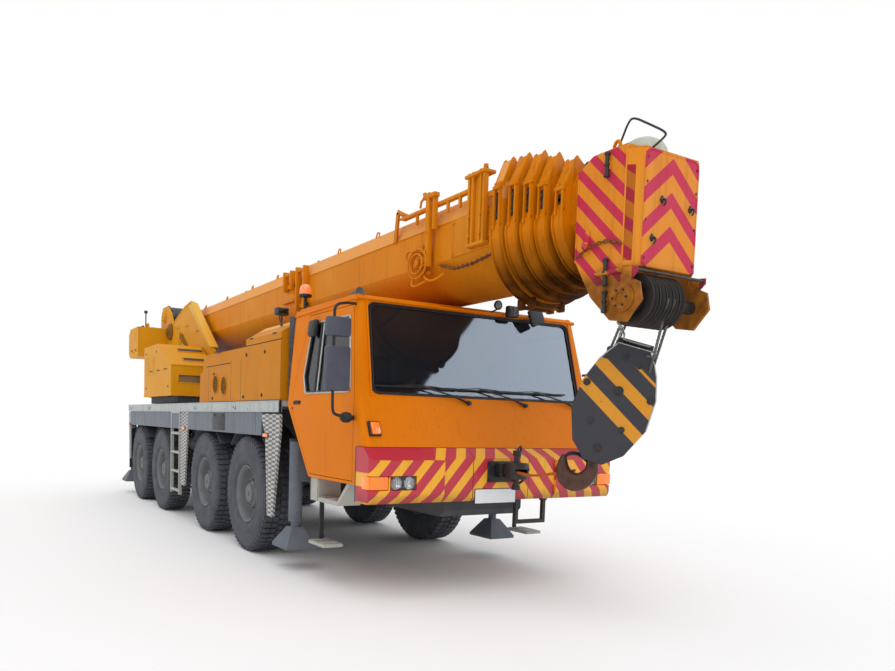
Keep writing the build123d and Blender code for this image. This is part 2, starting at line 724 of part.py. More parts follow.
with BuildPart() as towing_jaw:
    block((CENTRE_FRONT_X, 4500), (-60, 60), (1110, 1190))
    upright(4540, 0, 95, (1080, 1220))
    upright(4540, 0, 25, (1000, 1300))
    block((4520, 4700), (-70, 70), (1130, 1170), Mode.SUBTRACT)
    # stirrup step hanging under the bumper
    for leg_y in (210, 540):
        block((4270, 4305), (leg_y, leg_y + 35), (640, BUMPER_BOTTOM))
    block((4270, 4305), (210, 575), (640, 675))
save(towing_jaw, "towing_jaw")

with BuildPart() as mirrors:
    for side in SIDES.values():
        # main and wide-angle heads on one bent tube, held at the pillar and above the screen
        block((4110, 4190), mirrored(1520, 1750, side), (1790, 2195))
        block((4110, 4190), mirrored(1520, 1740, side), (2215, 2400))
        rod((4150, side * 1600, 1586), (4150, side * 1600, 2474), 14)
        rod((4150, side * 1606, 2460), (3870.8, side * 1273.8, 2460), 13)
        rod((4150, side * 1604, 1600), (4075.3, side * 1362.2, 1580), 13)
        cross_rod((4150, 1600), 45, mirrored(1480, 1530, side))
save(mirrors, "mirrors")

# ---------------------------------------------------------------- engine hood, engine, exhaust
HOOD_SIDE = [
    (HOOD_REAR_X, DECK_TOP),
    (HOOD_REAR_X + 25, 2140),
    (HOOD_REAR_X + 150, 2160),
    (HOOD_REAR_X + 195, HOOD_LOW_TOP),
    (HOOD_STEP_X, HOOD_LOW_TOP),
    (HOOD_STEP_X, DECK_TOP),
]


def hood_section(inset):
    """Half-hexagon cross-section of the raised front hood, as (y, z) points."""
    side = CAB_HALF_WIDTH - inset
    ridge = HOOD_RIDGE_HALF - inset
    return [
        (-side, DECK_TOP),
        (-side, HOOD_SIDE_TOP - inset),
        (-ridge, HOOD_RIDGE_TOP - inset),
        (ridge, HOOD_RIDGE_TOP - inset),
        (side, HOOD_SIDE_TOP - inset),
        (side, DECK_TOP),
    ]


with BuildPart() as engine_hood:
    plate(HOOD_SIDE, (-CAB_HALF_WIDTH, CAB_HALF_WIDTH))
    hood_inside = (-CAB_HALF_WIDTH + HOOD_WALL, CAB_HALF_WIDTH - HOOD_WALL)
    hollow = (DECK_TOP, 2130 - HOOD_WALL)
    block((HOOD_REAR_X + 60, HOOD_STEP_X), hood_inside, hollow, Mode.SUBTRACT)
    upper = (2130 - HOOD_WALL, HOOD_LOW_TOP - HOOD_WALL)
    block((HOOD_REAR_X + 230, HOOD_STEP_X), hood_inside, upper, Mode.SUBTRACT)
    with BuildSketch(Plane.YZ.offset(HOOD_STEP_X)):
        with BuildLine():
            Polyline(*hood_section(0), close=True)
        make_face()
    extrude(amount=HOOD_FRONT_X - HOOD_STEP_X)
    with BuildSketch(Plane.YZ.offset(HOOD_STEP_X)):
        with BuildLine():
            Polyline(*hood_section(HOOD_WALL), close=True)
        make_face()
    extrude(amount=HOOD_FRONT_X - HOOD_WALL - HOOD_STEP_X, mode=Mode.SUBTRACT)
save(engine_hood, "engine_hood")

with BuildPart() as engine_block:
    block((700, 2150), (-420, 420), (DECK_TOP, 2080))
save(engine_block, "engine_block")

with BuildPart() as exhaust_stack:
    upright(2478, -1240, 60, (DECK_TOP, 2590))
    for height in (1900, 2330):
        block((HOOD_FRONT_X + SEAT_GAP, 2440), (-1260, -1220), (height, height + 40))
save(exhaust_stack, "exhaust_stack")

# ---------------------------------------------------------------- superstructure
RING_TOP = DECK_TOP + SLEW_RING_HEIGHT
PLATE_BOTTOM = RING_TOP + SLEW_GAP
PLATE_TOP = PLATE_BOTTOM + TURNTABLE_PLATE
with BuildPart() as slew_ring:
    upright(SLEW_X, 0, SLEW_RING_RADIUS, (DECK_TOP, RING_TOP))
    upright(SLEW_X, 0, SLEW_RING_RADIUS - 140, (DECK_TOP, RING_TOP), Mode.SUBTRACT)
save(slew_ring, "slew_ring")

SIDE_PLATE = [
    (-2450, PLATE_TOP),
    (-2350, 2640),
    (-3600, 3560),
    (-3760, 3600),
    (-4150, 3560),
    (-5020, 3330),
    (-5200, 3560),
    (-5480, 3740),
    (-5820, 3740),
    (-5960, 3560),
    (-5960, TAIL_TOP + 10),
    (TAIL_FRONT_X, TAIL_TOP + 10),
    (TAIL_FRONT_X, 2730),
    (-4600, 2660),
    (-4050, PLATE_TOP),
]
DRUM_Z = TAIL_TOP + 30 + DRUM_FLANGE_RADIUS
with BuildPart() as turntable:
    upright(SLEW_X, 0, SLEW_RING_RADIUS + 40, (PLATE_BOTTOM, PLATE_TOP))
    block((-4050, -2100), (-HOUSE_OUTER, SIDE_PLATE_OUTER), (PLATE_BOTTOM + 10, PLATE_TOP))
    block((-2940, -1300), (SIDE_PLATE_OUTER, HOUSE_OUTER), (PLATE_BOTTOM + 10, PLATE_TOP))
    for side in SIDES.values():
        plate(SIDE_PLATE, mirrored(SIDE_PLATE_INNER, SIDE_PLATE_OUTER, side))
    cross_rod(PIVOT, PIVOT_PIN_RADIUS, (-SIDE_PLATE_OUTER, SIDE_PLATE_OUTER))
    cross_rod(LUFF_FOOT, 60, (-SIDE_PLATE_OUTER, SIDE_PLATE_OUTER))
    block((TAIL_FRONT_X, TAIL_FRONT_X + 40), (-SIDE_PLATE_INNER, SIDE_PLATE_INNER), (2735, 3280))
    # winch shaft bores in the plates
    cross_rod((DRUM_X, DRUM_Z), 50 + RUNNING_FIT, (-SIDE_PLATE_OUTER, SIDE_PLATE_OUTER), Mode.SUBTRACT)
save(turntable, "turntable")

HOUSE_SIDE = [
    (-4025, HOUSE_BOTTOM),
    (-2125, HOUSE_BOTTOM),
    (-2125, 2360),
    (-2995, 2745),
    (-4025, 2745),
]
with BuildPart() as power_house:
    plate(HOUSE_SIDE, (-HOUSE_OUTER, -HOUSE_INNER))
save(power_house, "power_house")

with BuildPart() as counterweight:
    tail = [
        (TAIL_FRONT_X, TAIL_BOTTOM),
        (TAIL_FRONT_X, TAIL_TOP),
        (TAIL_REAR_X + 160, TAIL_TOP),
        (TAIL_REAR_X, TAIL_TOP - 110),
        (TAIL_REAR_X, TAIL_BOTTOM + 90),
        (TAIL_REAR_X + 120, TAIL_BOTTOM),
    ]
    plate(tail, (-TAIL_HALF, TAIL_HALF))
    block((-BIG, BIG), (-BIG, BIG), (TAIL_BOTTOM + 160, TAIL_BOTTOM + 161), Mode.SUBTRACT)
save(counterweight, "counterweight")

with BuildPart() as winch_drum:
    flange = SIDE_PLATE_INNER - 20
    cross_rod((DRUM_X, DRUM_Z), DRUM_RADIUS, (-flange, flange))
    for side in SIDES.values():
        cross_rod((DRUM_X, DRUM_Z), DRUM_FLANGE_RADIUS, mirrored(flange - 25, flange, side))
    cross_rod((DRUM_X, DRUM_Z), 50, (-SIDE_PLATE_OUTER, SIDE_PLATE_OUTER))
save(winch_drum, "winch_drum")

CRANE_CAB_SIDE = [
    (-2925, HOUSE_BOTTOM),
    (-1330, HOUSE_BOTTOM),
    (-1230, 2320),
    (-1400, 3240),
    (-1480, 3320),
    (-2925, 3320),
]
SLIDING_DOOR_Y = HOUSE_OUTER + 6
CRANE_DOOR = [(-2800, 2000), (-1950, 2000), (-1950, 3230), (-2800, 3230)]
with BuildPart() as crane_cab:
    plate(CRANE_CAB_SIDE, (HOUSE_INNER, HOUSE_OUTER))
    cab_inside = (HOUSE_INNER + CRANE_CAB_WALL, HOUSE_OUTER - CRANE_CAB_WALL)
    inset_plate(CRANE_CAB_SIDE, CRANE_CAB_WALL, cab_inside, Mode.SUBTRACT)
    outer_wall = (HOUSE_OUTER - CRANE_CAB_WALL - 5, HOUSE_OUTER + 5)
    plate(CRANE_DOOR, outer_wall, Mode.SUBTRACT)
    quarter = [(-1880, 2350), (-1330, 2350), (-1480, 3180), (-1880, 3180)]
    plate(quarter, (HOUSE_INNER - 5, HOUSE_OUTER + 5), Mode.SUBTRACT)
    block((-1600, BIG), (HOUSE_INNER + 90, HOUSE_OUTER - 90), (2400, 3160), Mode.SUBTRACT)
    # runners of the sliding door
    for rail_z in ((1975, 2000), (3230, 3255)):
        block((-2925, -1915), (HOUSE_OUTER, SLIDING_DOOR_Y - SEAT_GAP), rail_z)
save(crane_cab, "crane_cab")

with BuildPart() as crane_cab_door:
    sliding = (SLIDING_DOOR_Y, SLIDING_DOOR_Y + 28)
    leaf = [(-2830, 1975), (-1915, 1975), (-1915, 3255), (-2830, 3255)]
    plate(leaf, sliding)
    window = [(-2740, 2350), (-2000, 2350), (-2000, 3170), (-2740, 3170)]
    plate(window, sliding, Mode.SUBTRACT)
save(crane_cab_door, "crane_cab_door")

# ---------------------------------------------------------------- luffing cylinder
LUFF_LENGTH = hypot(LUFF_EYE[0] - LUFF_FOOT[0], LUFF_EYE[1] - LUFF_FOOT[1])
LUFF_ANGLE = atan2(LUFF_EYE[1] - LUFF_FOOT[1], LUFF_EYE[0] - LUFF_FOOT[0])
LUFF_AXIS = (cos(LUFF_ANGLE), 0, sin(LUFF_ANGLE))
LUFF_START = (LUFF_FOOT[0], 0, LUFF_FOOT[1])
BARREL_LENGTH = LUFF_LENGTH - BARREL_FRONT_GAP


def along_luff(distance):
    """Plane square to the cylinder, a distance up from its foot."""
    origin = [LUFF_START[i] + distance * LUFF_AXIS[i] for i in range(3)]
    return Plane(origin=origin, x_dir=(0, 1, 0), z_dir=LUFF_AXIS)


with BuildPart() as luff_barrel:
    with BuildSketch(along_luff(90)):
        Circle(BARREL_RADIUS)
    extrude(amount=BARREL_LENGTH - 90)
    cross_rod(LUFF_FOOT, 110, (-75, 75))
    with BuildSketch(along_luff(200)):
        Circle(LUFF_ROD_RADIUS + RUNNING_FIT)
    extrude(amount=BIG, mode=Mode.SUBTRACT)
    cross_rod(LUFF_FOOT, 60 + RUNNING_FIT, (-80, 80), Mode.SUBTRACT)
save(luff_barrel, "luff_barrel")

with BuildPart() as luff_rod:
    with BuildSketch(along_luff(230)):
        Circle(LUFF_ROD_RADIUS)
    extrude(amount=LUFF_LENGTH - 230 - 60)
    cross_rod(LUFF_EYE, LUFF_EYE_RADIUS, (-LUFF_EYE_HALF, LUFF_EYE_HALF))
    # the eye is open on top, so that the pin may leave it as the boom rises
    slot = EYE_PIN_RADIUS + EYE_SLOT_GAP
    cross_rod(LUFF_EYE, slot, (-LUFF_EYE_HALF, LUFF_EYE_HALF), Mode.SUBTRACT)
    slot_x = (LUFF_EYE[0] - EYE_SLOT_REAR, LUFF_EYE[0] + slot)
    slot_y = (-LUFF_EYE_HALF, LUFF_EYE_HALF)
    block(slot_x, slot_y, (LUFF_EYE[1], LUFF_EYE[1] + 200), Mode.SUBTRACT)
save(luff_rod, "luff_rod")

# ---------------------------------------------------------------- boom
ARC_RISE = BOOM_CREASE - BOOM_BOTTOM
ARC_RADIUS = (BOOM_HALF**2 + ARC_RISE**2) / (2 * ARC_RISE)
ARC_CENTRE_Z = BOOM_BOTTOM + ARC_RADIUS
BEVEL_RUN = hypot(BOOM_HALF - BOOM_BEVEL_Y, BOOM_TOP - BOOM_BEVEL_Z)
BEVEL_NORMAL = ((BOOM_TOP - BOOM_BEVEL_Z) / BEVEL_RUN, (BOOM_HALF - BOOM_BEVEL_Y) / BEVEL_RUN)


def boom_face(inset, x):
    """Face of one boom section: flat top with bevels, flat sides, round belly."""
    half = BOOM_HALF - inset
    top = BOOM_TOP - inset
    radius = ARC_RADIUS - inset
    crease = ARC_CENTRE_Z - sqrt(radius**2 - half**2)
    reach = BEVEL_NORMAL[0] * BOOM_HALF + BEVEL_NORMAL[1] * BOOM_BEVEL_Z - inset
    bevel_z = (reach - BEVEL_NORMAL[0] * half) / BEVEL_NORMAL[1]
    bevel_y = (reach - BEVEL_NORMAL[1] * top) / BEVEL_NORMAL[0]
    with BuildSketch(Plane.YZ.offset(x)) as face:
        with BuildLine():
            Polyline(
                (-half, crease),
                (-half, bevel_z),
                (-bevel_y, top),
                (bevel_y, top),
                (half, bevel_z),
                (half, crease),
            )
            ThreePointArc((half, crease), (0, BOOM_BOTTOM + inset), (-half, crease))
        make_face()
    return face.sketch


def collar_face(number, x):
    """Face of a collar: round belly, straight sides and two raised peaks."""
    less = COLLAR_STEP * number
    half = COLLAR_HALF - less
    shoulder = COLLAR_SHOULDER
    notch = BOOM_TOP - SECTION_STEP * number + 50
    peak = COLLAR_PEAKS[number]
    with BuildSketch(Plane.YZ.offset(x)) as face:
        with BuildLine():
            Polyline(
                (-half, shoulder),
                (-half, peak - 200),
                (80 - half, peak),
                (130 - half, peak),
                (200 - half, notch),
                (half - 200, notch),
                (half - 130, peak),
                (half - 80, peak),
                (half, peak - 200),
                (half, shoulder),
            )
            ThreePointArc((half, shoulder), (0, COLLAR_BOTTOM + less), (-half, shoulder))
        make_face()
    return face.sketch


def boom_tube(inset, rear_x, front_x):
    """Tube of one boom section along X, still solid."""
    extrude(boom_face(inset, rear_x), amount=front_x - rear_x)


def hollow_out(inset, rear_x, front_x, lip):
    """Remove the inside of a section, down to a slide lip of that length at its front."""
    core = boom_face(inset + BOOM_WALL, rear_x - 10)
    extrude(core, amount=front_x - lip - rear_x + 10, mode=Mode.SUBTRACT)
    mouth = boom_face(inset + SECTION_STEP - SEAT_GAP if lip else inset + BOOM_WALL, front_x - lip - 1)
    extrude(mouth, amount=lip + 11, mode=Mode.SUBTRACT)


def collar(number):
    """Stiffening collar at the front of one boom section."""
    extrude(collar_face(number, COLLAR_X[number] - COLLAR_LENGTH), amount=COLLAR_LENGTH)


LUG_HALF = 120.0
with BuildPart() as boom_base:
    boom_tube(0, BOOM_REAR_X, COLLAR_X[0])
    collar(0)
    for side in SIDES.values():
        cross_rod(PIVOT, 150, mirrored(BOOM_HALF - BOOM_WALL, SIDE_PLATE_INNER - 6, side))
    hollow_out(0, BOOM_REAR_X, COLLAR_X[0], SLIDE_LIP)
    for side in SIDES.values():
        lug = [
            (LUFF_EYE[0] - LUG_HALF - 120, BOOM_BOTTOM + 17),
            (LUFF_EYE[0] - 60, LUFF_EYE[1] - 75),
            (LUFF_EYE[0] + 60, LUFF_EYE[1] - 75),
            (LUFF_EYE[0] + LUG_HALF + 120, BOOM_BOTTOM + 17),
        ]
        plate(lug, mirrored(LUFF_EYE_HALF + 8, LUFF_EYE_HALF + 38, side))
    cross_rod(LUFF_EYE, EYE_PIN_RADIUS, (-LUFF_EYE_HALF - 38, LUFF_EYE_HALF + 38))
    bore = PIVOT_PIN_RADIUS + RUNNING_FIT
    cross_rod(PIVOT, bore, (-SIDE_PLATE_INNER, SIDE_PLATE_INNER), Mode.SUBTRACT)
save(boom_base, "boom_base")

for number in range(1, 6):
    inset = SECTION_STEP * number
    rear_x = SECTION_REAR_X + SECTION_REAR_STEP * (number - 1)
    front_x = COLLAR_X[number] if number < len(COLLAR_X) else HEAD_REAR_X
    with BuildPart() as section:
        boom_tube(inset, rear_x, front_x)
        if number < len(COLLAR_X):
            collar(number)
            hollow_out(inset, rear_x, front_x, SLIDE_LIP)
        else:
            hollow_out(inset, rear_x, front_x, 0)
    save(section, f"boom_section_{number}")

# ---------------------------------------------------------------- boom head
HEAD_SIDE = [
    (HEAD_REAR_X, 2750),
    (HEAD_REAR_X, 3370),
    (HEAD_REAR_X + 130, HEAD_TOP),
    (HEAD_CORNER_X, HEAD_TOP),
    (HEAD_CORNER_X, 2590),
    (6080, 2520),
    (6105, 2400),
    (5985, 2265),
    (5840, 2290),
    (5655, 2470),
]
HAT = [
    (HEAD_CORNER_X - 20, HEAD_PLATE_OUTER),
    (HEAD_CORNER_X, HEAD_PLATE_OUTER),
    (HEAD_FRONT_X, COVER_HALF),
    (HEAD_FRONT_X, -COVER_HALF),
    (HEAD_CORNER_X, -HEAD_PLATE_OUTER),
    (HEAD_CORNER_X - 20, -HEAD_PLATE_OUTER),
    (HEAD_CORNER_X - 20, -HEAD_PLATE_OUTER + 16),
    (HEAD_CORNER_X - 8, -HEAD_PLATE_OUTER + 16),
    (HEAD_FRONT_X - 16, -COVER_HALF + 7),
    (HEAD_FRONT_X - 16, COVER_HALF - 7),
    (HEAD_CORNER_X - 8, HEAD_PLATE_OUTER - 16),
    (HEAD_CORNER_X - 20, HEAD_PLATE_OUTER - 16),
]
with BuildPart() as boom_head:
    for side in SIDES.values():
        side_y = mirrored(HEAD_PLATE_OUTER - HEAD_PLATE, HEAD_PLATE_OUTER, side)
        plate(HEAD_SIDE, side_y)
    inner_y = (-HEAD_PLATE_OUTER, HEAD_PLATE_OUTER)
    block((HEAD_REAR_X, HEAD_REAR_X + 30), inner_y, (2760, 3340))
    block((HEAD_REAR_X + 130, HEAD_CORNER_X), inner_y, (HEAD_TOP - HEAD_PLATE, HEAD_TOP))
    block((5620, 5640), inner_y, (2700, 2900))
    with BuildSketch(Plane.XY.offset(COVER_BOTTOM)):
        Polygon(*HAT, align=None)
    extrude(amount=HEAD_TOP - 30 - COVER_BOTTOM)
    cross_rod(SHEAVE_CENTRE, SHAFT_RADIUS + RUNNING_FIT, (-BIG / 2, BIG / 2), Mode.SUBTRACT)
save(boom_head, "boom_head")

with BuildPart() as head_sheaves:
    cross_rod(SHEAVE_CENTRE, SHAFT_RADIUS, (-HEAD_PLATE_OUTER, HEAD_PLATE_OUTER))
    for index in range(SHEAVE_COUNT):
        middle = SHEAVE_MIDDLE_Y + (index - (SHEAVE_COUNT - 1) / 2) * SHEAVE_PITCH
        disc = (middle - SHEAVE_THICKNESS / 2, middle + SHEAVE_THICKNESS / 2)
        cross_rod(SHEAVE_CENTRE, SHEAVE_RADIUS, disc)
save(head_sheaves, "head_sheaves")


# ---------------------------------------------------------------- hook block
def on_block(across, up):
    """Point of the tilted hook block: across and up from its centre, as (x, z)."""
    x = BLOCK_CENTRE[0] + across * cos(BLOCK_TILT) + up * sin(BLOCK_TILT)
    z = BLOCK_CENTRE[1] - across * sin(BLOCK_TILT) + up * cos(BLOCK_TILT)
    return (x, z)


def save_turned(builder, name):
    """Write a piece of the hook block, turned about the upright line through its centre."""
    line = Axis((BLOCK_CENTRE[0], 0, BLOCK_CENTRE[1]), (0, 0, 1))
    solid = builder.part.rotate(line, BLOCK_TURN)
    solid.label = name
    export_step(solid, f"parts/{name}.step")


BLOCK_OUTLINE = [
    (-120, BLOCK_HALF_HEIGHT - 10),
    (120, BLOCK_HALF_HEIGHT - 10),
    (215, 270),
    (BLOCK_HALF_WIDTH - 8, 110),
    (BLOCK_HALF_WIDTH, -110),
    (190, -330),
    (70, -BLOCK_HALF_HEIGHT),
    (-70, -BLOCK_HALF_HEIGHT),
    (-190, -330),
    (-BLOCK_HALF_WIDTH, -110),
    (8 - BLOCK_HALF_WIDTH, 110),
    (-215, 270),
]
BLOCK_AXLE = on_block(0, 104)
with BuildPart() as hook_block:
    cheek = [on_block(*point) for point in BLOCK_OUTLINE]
    for side in SIDES.values():
        plate(cheek, mirrored(BLOCK_PLATE_INNER, BLOCK_PLATE_OUTER, side))
    cross_rod(BLOCK_AXLE, 40, (-BLOCK_PLATE_OUTER, BLOCK_PLATE_OUTER))
    for middle in (-76, 0, 76):
        cross_rod(BLOCK_AXLE, 195, (middle - 28, middle + 28))
    trunnion = [on_block(*p) for p in [(-62, -420), (62, -420), (90, -290), (-90, -290)]]
    plate(trunnion, (-BLOCK_PLATE_INNER, BLOCK_PLATE_INNER))
save_turned(hook_block, "hook_block")

HOOK_START = on_block(0, -420 - SEAT_GAP)
hook_down = Plane(
    origin=(HOOK_START[0], 0, HOOK_START[1]),
    x_dir=(0, 1, 0),
    z_dir=(-sin(BLOCK_TILT), 0, -cos(BLOCK_TILT)),
)
with BuildPart() as hook:
    with BuildSketch(hook_down):
        Circle(45)
    extrude(amount=130)
    cross_rod(on_block(-90, -588), 135, (-42, 42))
    point = [on_block(*p) for p in [(-225, -590), (-170, -560), (-188, -485), (-212, -455), (-236, -490)]]
    plate(point, (-30, 30))
    cross_rod(on_block(-124, -520), 62, (-50, 50), Mode.SUBTRACT)
    mouth = [on_block(*p) for p in [(-175, -500), (-75, -500), (-75, -430), (-187, -430)]]
    plate(mouth, (-50, 50), Mode.SUBTRACT)
save_turned(hook, "hook")

print("luffing cylinder", round(LUFF_LENGTH), "mm at", round(degrees(LUFF_ANGLE), 2), "degrees")
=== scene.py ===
# %% [markdown]
# # A four-axle mobile crane, dressed over its frame
# The frame is the crane's measured body: every plate, tube and wheel has its place there, in metres,
# with X forward, Y to the crane's left and Z up. This lesson loads it, gives each part a finish, and
# models what a measured body leaves out: tyre tread, seals, wipers, lamps, rails, ropes and chains.

# %% load the frame
from math import asin, atan2, cos, hypot, pi, radians, sin, sqrt

import bmesh
import bpy
from mathutils import Matrix, Vector


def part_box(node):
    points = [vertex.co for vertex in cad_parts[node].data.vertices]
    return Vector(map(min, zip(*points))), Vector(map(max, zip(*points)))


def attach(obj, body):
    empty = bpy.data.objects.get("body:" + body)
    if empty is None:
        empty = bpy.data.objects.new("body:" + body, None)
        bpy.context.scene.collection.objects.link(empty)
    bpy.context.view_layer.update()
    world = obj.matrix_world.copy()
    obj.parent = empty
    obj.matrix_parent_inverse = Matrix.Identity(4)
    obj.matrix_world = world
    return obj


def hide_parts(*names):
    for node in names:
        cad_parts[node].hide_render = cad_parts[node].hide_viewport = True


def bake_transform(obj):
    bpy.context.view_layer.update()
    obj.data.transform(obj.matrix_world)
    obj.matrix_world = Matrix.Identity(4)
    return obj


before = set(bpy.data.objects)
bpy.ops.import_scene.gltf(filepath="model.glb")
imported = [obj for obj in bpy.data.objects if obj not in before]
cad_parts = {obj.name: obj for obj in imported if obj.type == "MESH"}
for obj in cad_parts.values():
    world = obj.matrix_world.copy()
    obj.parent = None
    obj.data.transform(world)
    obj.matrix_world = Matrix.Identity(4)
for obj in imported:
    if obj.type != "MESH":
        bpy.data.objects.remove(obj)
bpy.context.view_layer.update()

# %% [markdown]
# ## The studio
# A crane is big and glossy, so it is lit like a car: one wide pale sky, one large soft lamp high on
# the camera's side, and a pale floor that bounces light up under the deck. The sky shows as white to
# the camera and in reflections, while its light on the crane stays plain.

# %% the camera
CAMERA_PLACE = Vector((9.455, -4.25, 1.55))
CAMERA_YAW = radians(150.4)
CAMERA_PITCH = radians(-3.81)
CAMERA_ROLL = radians(1.6)
LENS_LENGTH = 29.2344
LENS_SHIFT = (0.084134, 0.150056)

ahead = Vector((cos(CAMERA_YAW) * cos(CAMERA_PITCH), sin(CAMERA_YAW) * cos(CAMERA_PITCH), sin(CAMERA_PITCH)))
level = ahead.cross(Vector((0, 0, 1))).normalized()
raised = level.cross(ahead)
right = level * cos(CAMERA_ROLL) + raised * sin(CAMERA_ROLL)
upward = raised * cos(CAMERA_ROLL) - level * sin(CAMERA_ROLL)
lens = bpy.data.cameras.new("camera")
lens.sensor_width = 36.0
lens.lens = LENS_LENGTH
lens.shift_x, lens.shift_y = LENS_SHIFT
lens.clip_end = 400
camera = bpy.data.objects.new("camera", lens)
turn = Matrix((right, upward, -ahead)).transposed()
camera.matrix_world = Matrix.Translation(CAMERA_PLACE) @ turn.to_4x4()
bpy.context.scene.collection.objects.link(camera)
bpy.context.scene.camera = camera
bpy.context.scene.view_settings.view_transform = "Standard"
print("lens", round(lens.lens, 1), "mm")

# %% [markdown]
# ## Shader sums written as Python
# A finish is a small graph of nodes. Wrapping a socket in a class that knows +, -, * and / lets a
# mask be written as an expression, such as 1 - dust * 0.4, and the Math nodes appear by themselves.

# %% sockets that can be added and multiplied
class Wire:
    """One output socket of a finish."""

    def __init__(self, finish, socket):
        self.finish = finish
        self.socket = socket

    def math(self, operation, *values):
        return self.finish.node("ShaderNodeMath", {"operation": operation}, values)

    def __add__(self, other):
        return self.math("ADD", self, other)

    def __sub__(self, other):
        return self.math("SUBTRACT", self, other)

    def __rsub__(self, other):
        return self.math("SUBTRACT", other, self)

    def __mul__(self, other):
        return self.math("MULTIPLY", self, other)

    def __truediv__(self, other):
        return self.math("DIVIDE", self, other)

    __radd__ = __add__
    __rmul__ = __mul__

    def size(self):
        return self.math("ABSOLUTE", self)

    def wave(self, period):
        """A sine from 0 to 1 with that period in metres."""
        return self.math("SINE", self * (2 * pi / period)) * 0.5 + 0.5

    def over(self, edge, softness=0.002):
        """1 where the value is above the edge, 0 below, with a soft step between."""
        return self.math("MINIMUM", self.math("MAXIMUM", (self - edge) / softness + 0.5, 0.0), 1.0)

    def under(self, edge, softness=0.002):
        return 1 - self.over(edge, softness)

    def within(self, low, high, softness=0.002):
        return self.over(low, softness) * self.under(high, softness)


# %% a finish under construction
def tint(red, green, blue):
    """A colour as the eye names it, turned into the light values that a shader uses."""
    light = [v / 12.92 if v <= 0.04045 else ((v + 0.055) / 1.055) ** 2.4 for v in (red, green, blue)]
    return (*light, 1.0)


class Finish:
    """A material whose pattern is measured in metres on the piece itself."""

    def __init__(self, name):
        self.material = bpy.data.materials.new(name)
        self.material.use_nodes = True
        self.tree = self.material.node_tree
        self.shader = self.tree.nodes["Principled BSDF"]
        self.place = self.node("ShaderNodeTexCoord", {}, {}, "Object")
        split = {axis: self.node("ShaderNodeSeparateXYZ", {}, {0: self.place}, axis) for axis in "XYZ"}
        self.x, self.y, self.z = split["X"], split["Y"], split["Z"]

    def node(self, kind, settings, inputs, output=0):
        """Add a node: its settings first, then the values or links of its sockets."""
        made = self.tree.nodes.new(kind)
        for name, value in settings.items():
            setattr(made, name, value)
        pairs = inputs.items() if isinstance(inputs, dict) else enumerate(inputs)
        for key, value in pairs:
            if isinstance(value, Wire):
                self.tree.links.new(value.socket, made.inputs[key])
            else:
                made.inputs[key].default_value = value
        return Wire(self, made.outputs[output])

    def noise(self, scale, detail=3.0, stretch=(1, 1, 1)):
        """Cloudy variation from 0 to 1; scale is blotches per metre."""
        place = self.node("ShaderNodeVectorMath", {"operation": "MULTIPLY"}, {0: self.place, 1: stretch})
        return self.node("ShaderNodeTexNoise", {}, {"Vector": place, "Scale": scale, "Detail": detail})

    def mix(self, first, second, share):
        """Blend two colours."""
        return self.node("ShaderNodeMix", {"data_type": "RGBA"}, {0: share, 6: first, 7: second}, 2)

    def fill(self, colour, roughness, metallic=0.0, bump=None, depth=0.001, **fixed):
        """Connect the finished graph; fixed values are the same all over the surface."""
        for name, value in (("Base Color", colour), ("Roughness", roughness), ("Metallic", metallic)):
            if isinstance(value, Wire):
                self.tree.links.new(value.socket, self.shader.inputs[name])
            else:
                self.shader.inputs[name].default_value = value
        if bump is not None:
            normal = self.node("ShaderNodeBump", {}, {"Strength": 1.0, "Distance": depth, "Height": bump})
            self.tree.links.new(normal.socket, self.shader.inputs["Normal"])
        for name, value in fixed.items():
            self.shader.inputs[name.replace("_", " ")].default_value = value
        return self.material


# %% the floor, the sky and the lamps
def pale_floor():
    finish = Finish("studio_floor")
    cloud = finish.noise(0.3)
    colour = finish.mix(tint(0.985, 0.985, 0.985), tint(0.995, 0.995, 0.995), cloud)
    return finish.fill(colour, 0.9)


bpy.ops.mesh.primitive_plane_add(size=240, location=(0, 0, 0))
floor = bpy.context.object
floor.name = "studio_floor"
floor.data.materials.append(pale_floor())

SKY_LIGHT = 0.82
sky = bpy.data.worlds.new("sky")
sky.use_nodes = True
bpy.context.scene.world = sky
sky_nodes = sky.node_tree.nodes
sky_links = sky.node_tree.links
seen = sky_nodes.new("ShaderNodeLightPath")
lit_sky = sky_nodes["Background"]
lit_sky.inputs["Color"].default_value = (0.985, 0.99, 1.0, 1.0)
lit_sky.inputs["Strength"].default_value = SKY_LIGHT
white_sky = sky_nodes.new("ShaderNodeBackground")
white_sky.inputs["Color"].default_value = (1, 1, 1, 1)
white_sky.inputs["Strength"].default_value = 1.0
either = sky_nodes.new("ShaderNodeMath")
either.operation = "MAXIMUM"
sky_links.new(seen.outputs["Is Camera Ray"], either.inputs[0])
sky_links.new(seen.outputs["Is Glossy Ray"], either.inputs[1])
any_view = sky_nodes.new("ShaderNodeMath")
any_view.operation = "MAXIMUM"
sky_links.new(either.outputs[0], any_view.inputs[0])
sky_links.new(seen.outputs["Is Transmission Ray"], any_view.inputs[1])
blend_sky = sky_nodes.new("ShaderNodeMixShader")
sky_links.new(any_view.outputs[0], blend_sky.inputs[0])
sky_links.new(lit_sky.outputs[0], blend_sky.inputs[1])
sky_links.new(white_sky.outputs[0], blend_sky.inputs[2])
sky_links.new(blend_sky.outputs[0], sky_nodes["World Output"].inputs["Surface"])


def soft_sun(name, toward, strength, spread):
    """A very wide sun: soft daylight from one side."""
    light = bpy.data.lights.new(name, "SUN")
    light.energy = strength
    light.angle = radians(spread)
    lamp = bpy.data.objects.new(name, light)
    lamp.rotation_euler = Vector(toward).to_track_quat("Z", "Y").to_euler()
    bpy.context.scene.collection.objects.link(lamp)


soft_sun("key_lamp", (0.55, -0.3, 1.0), 0.85, 50)


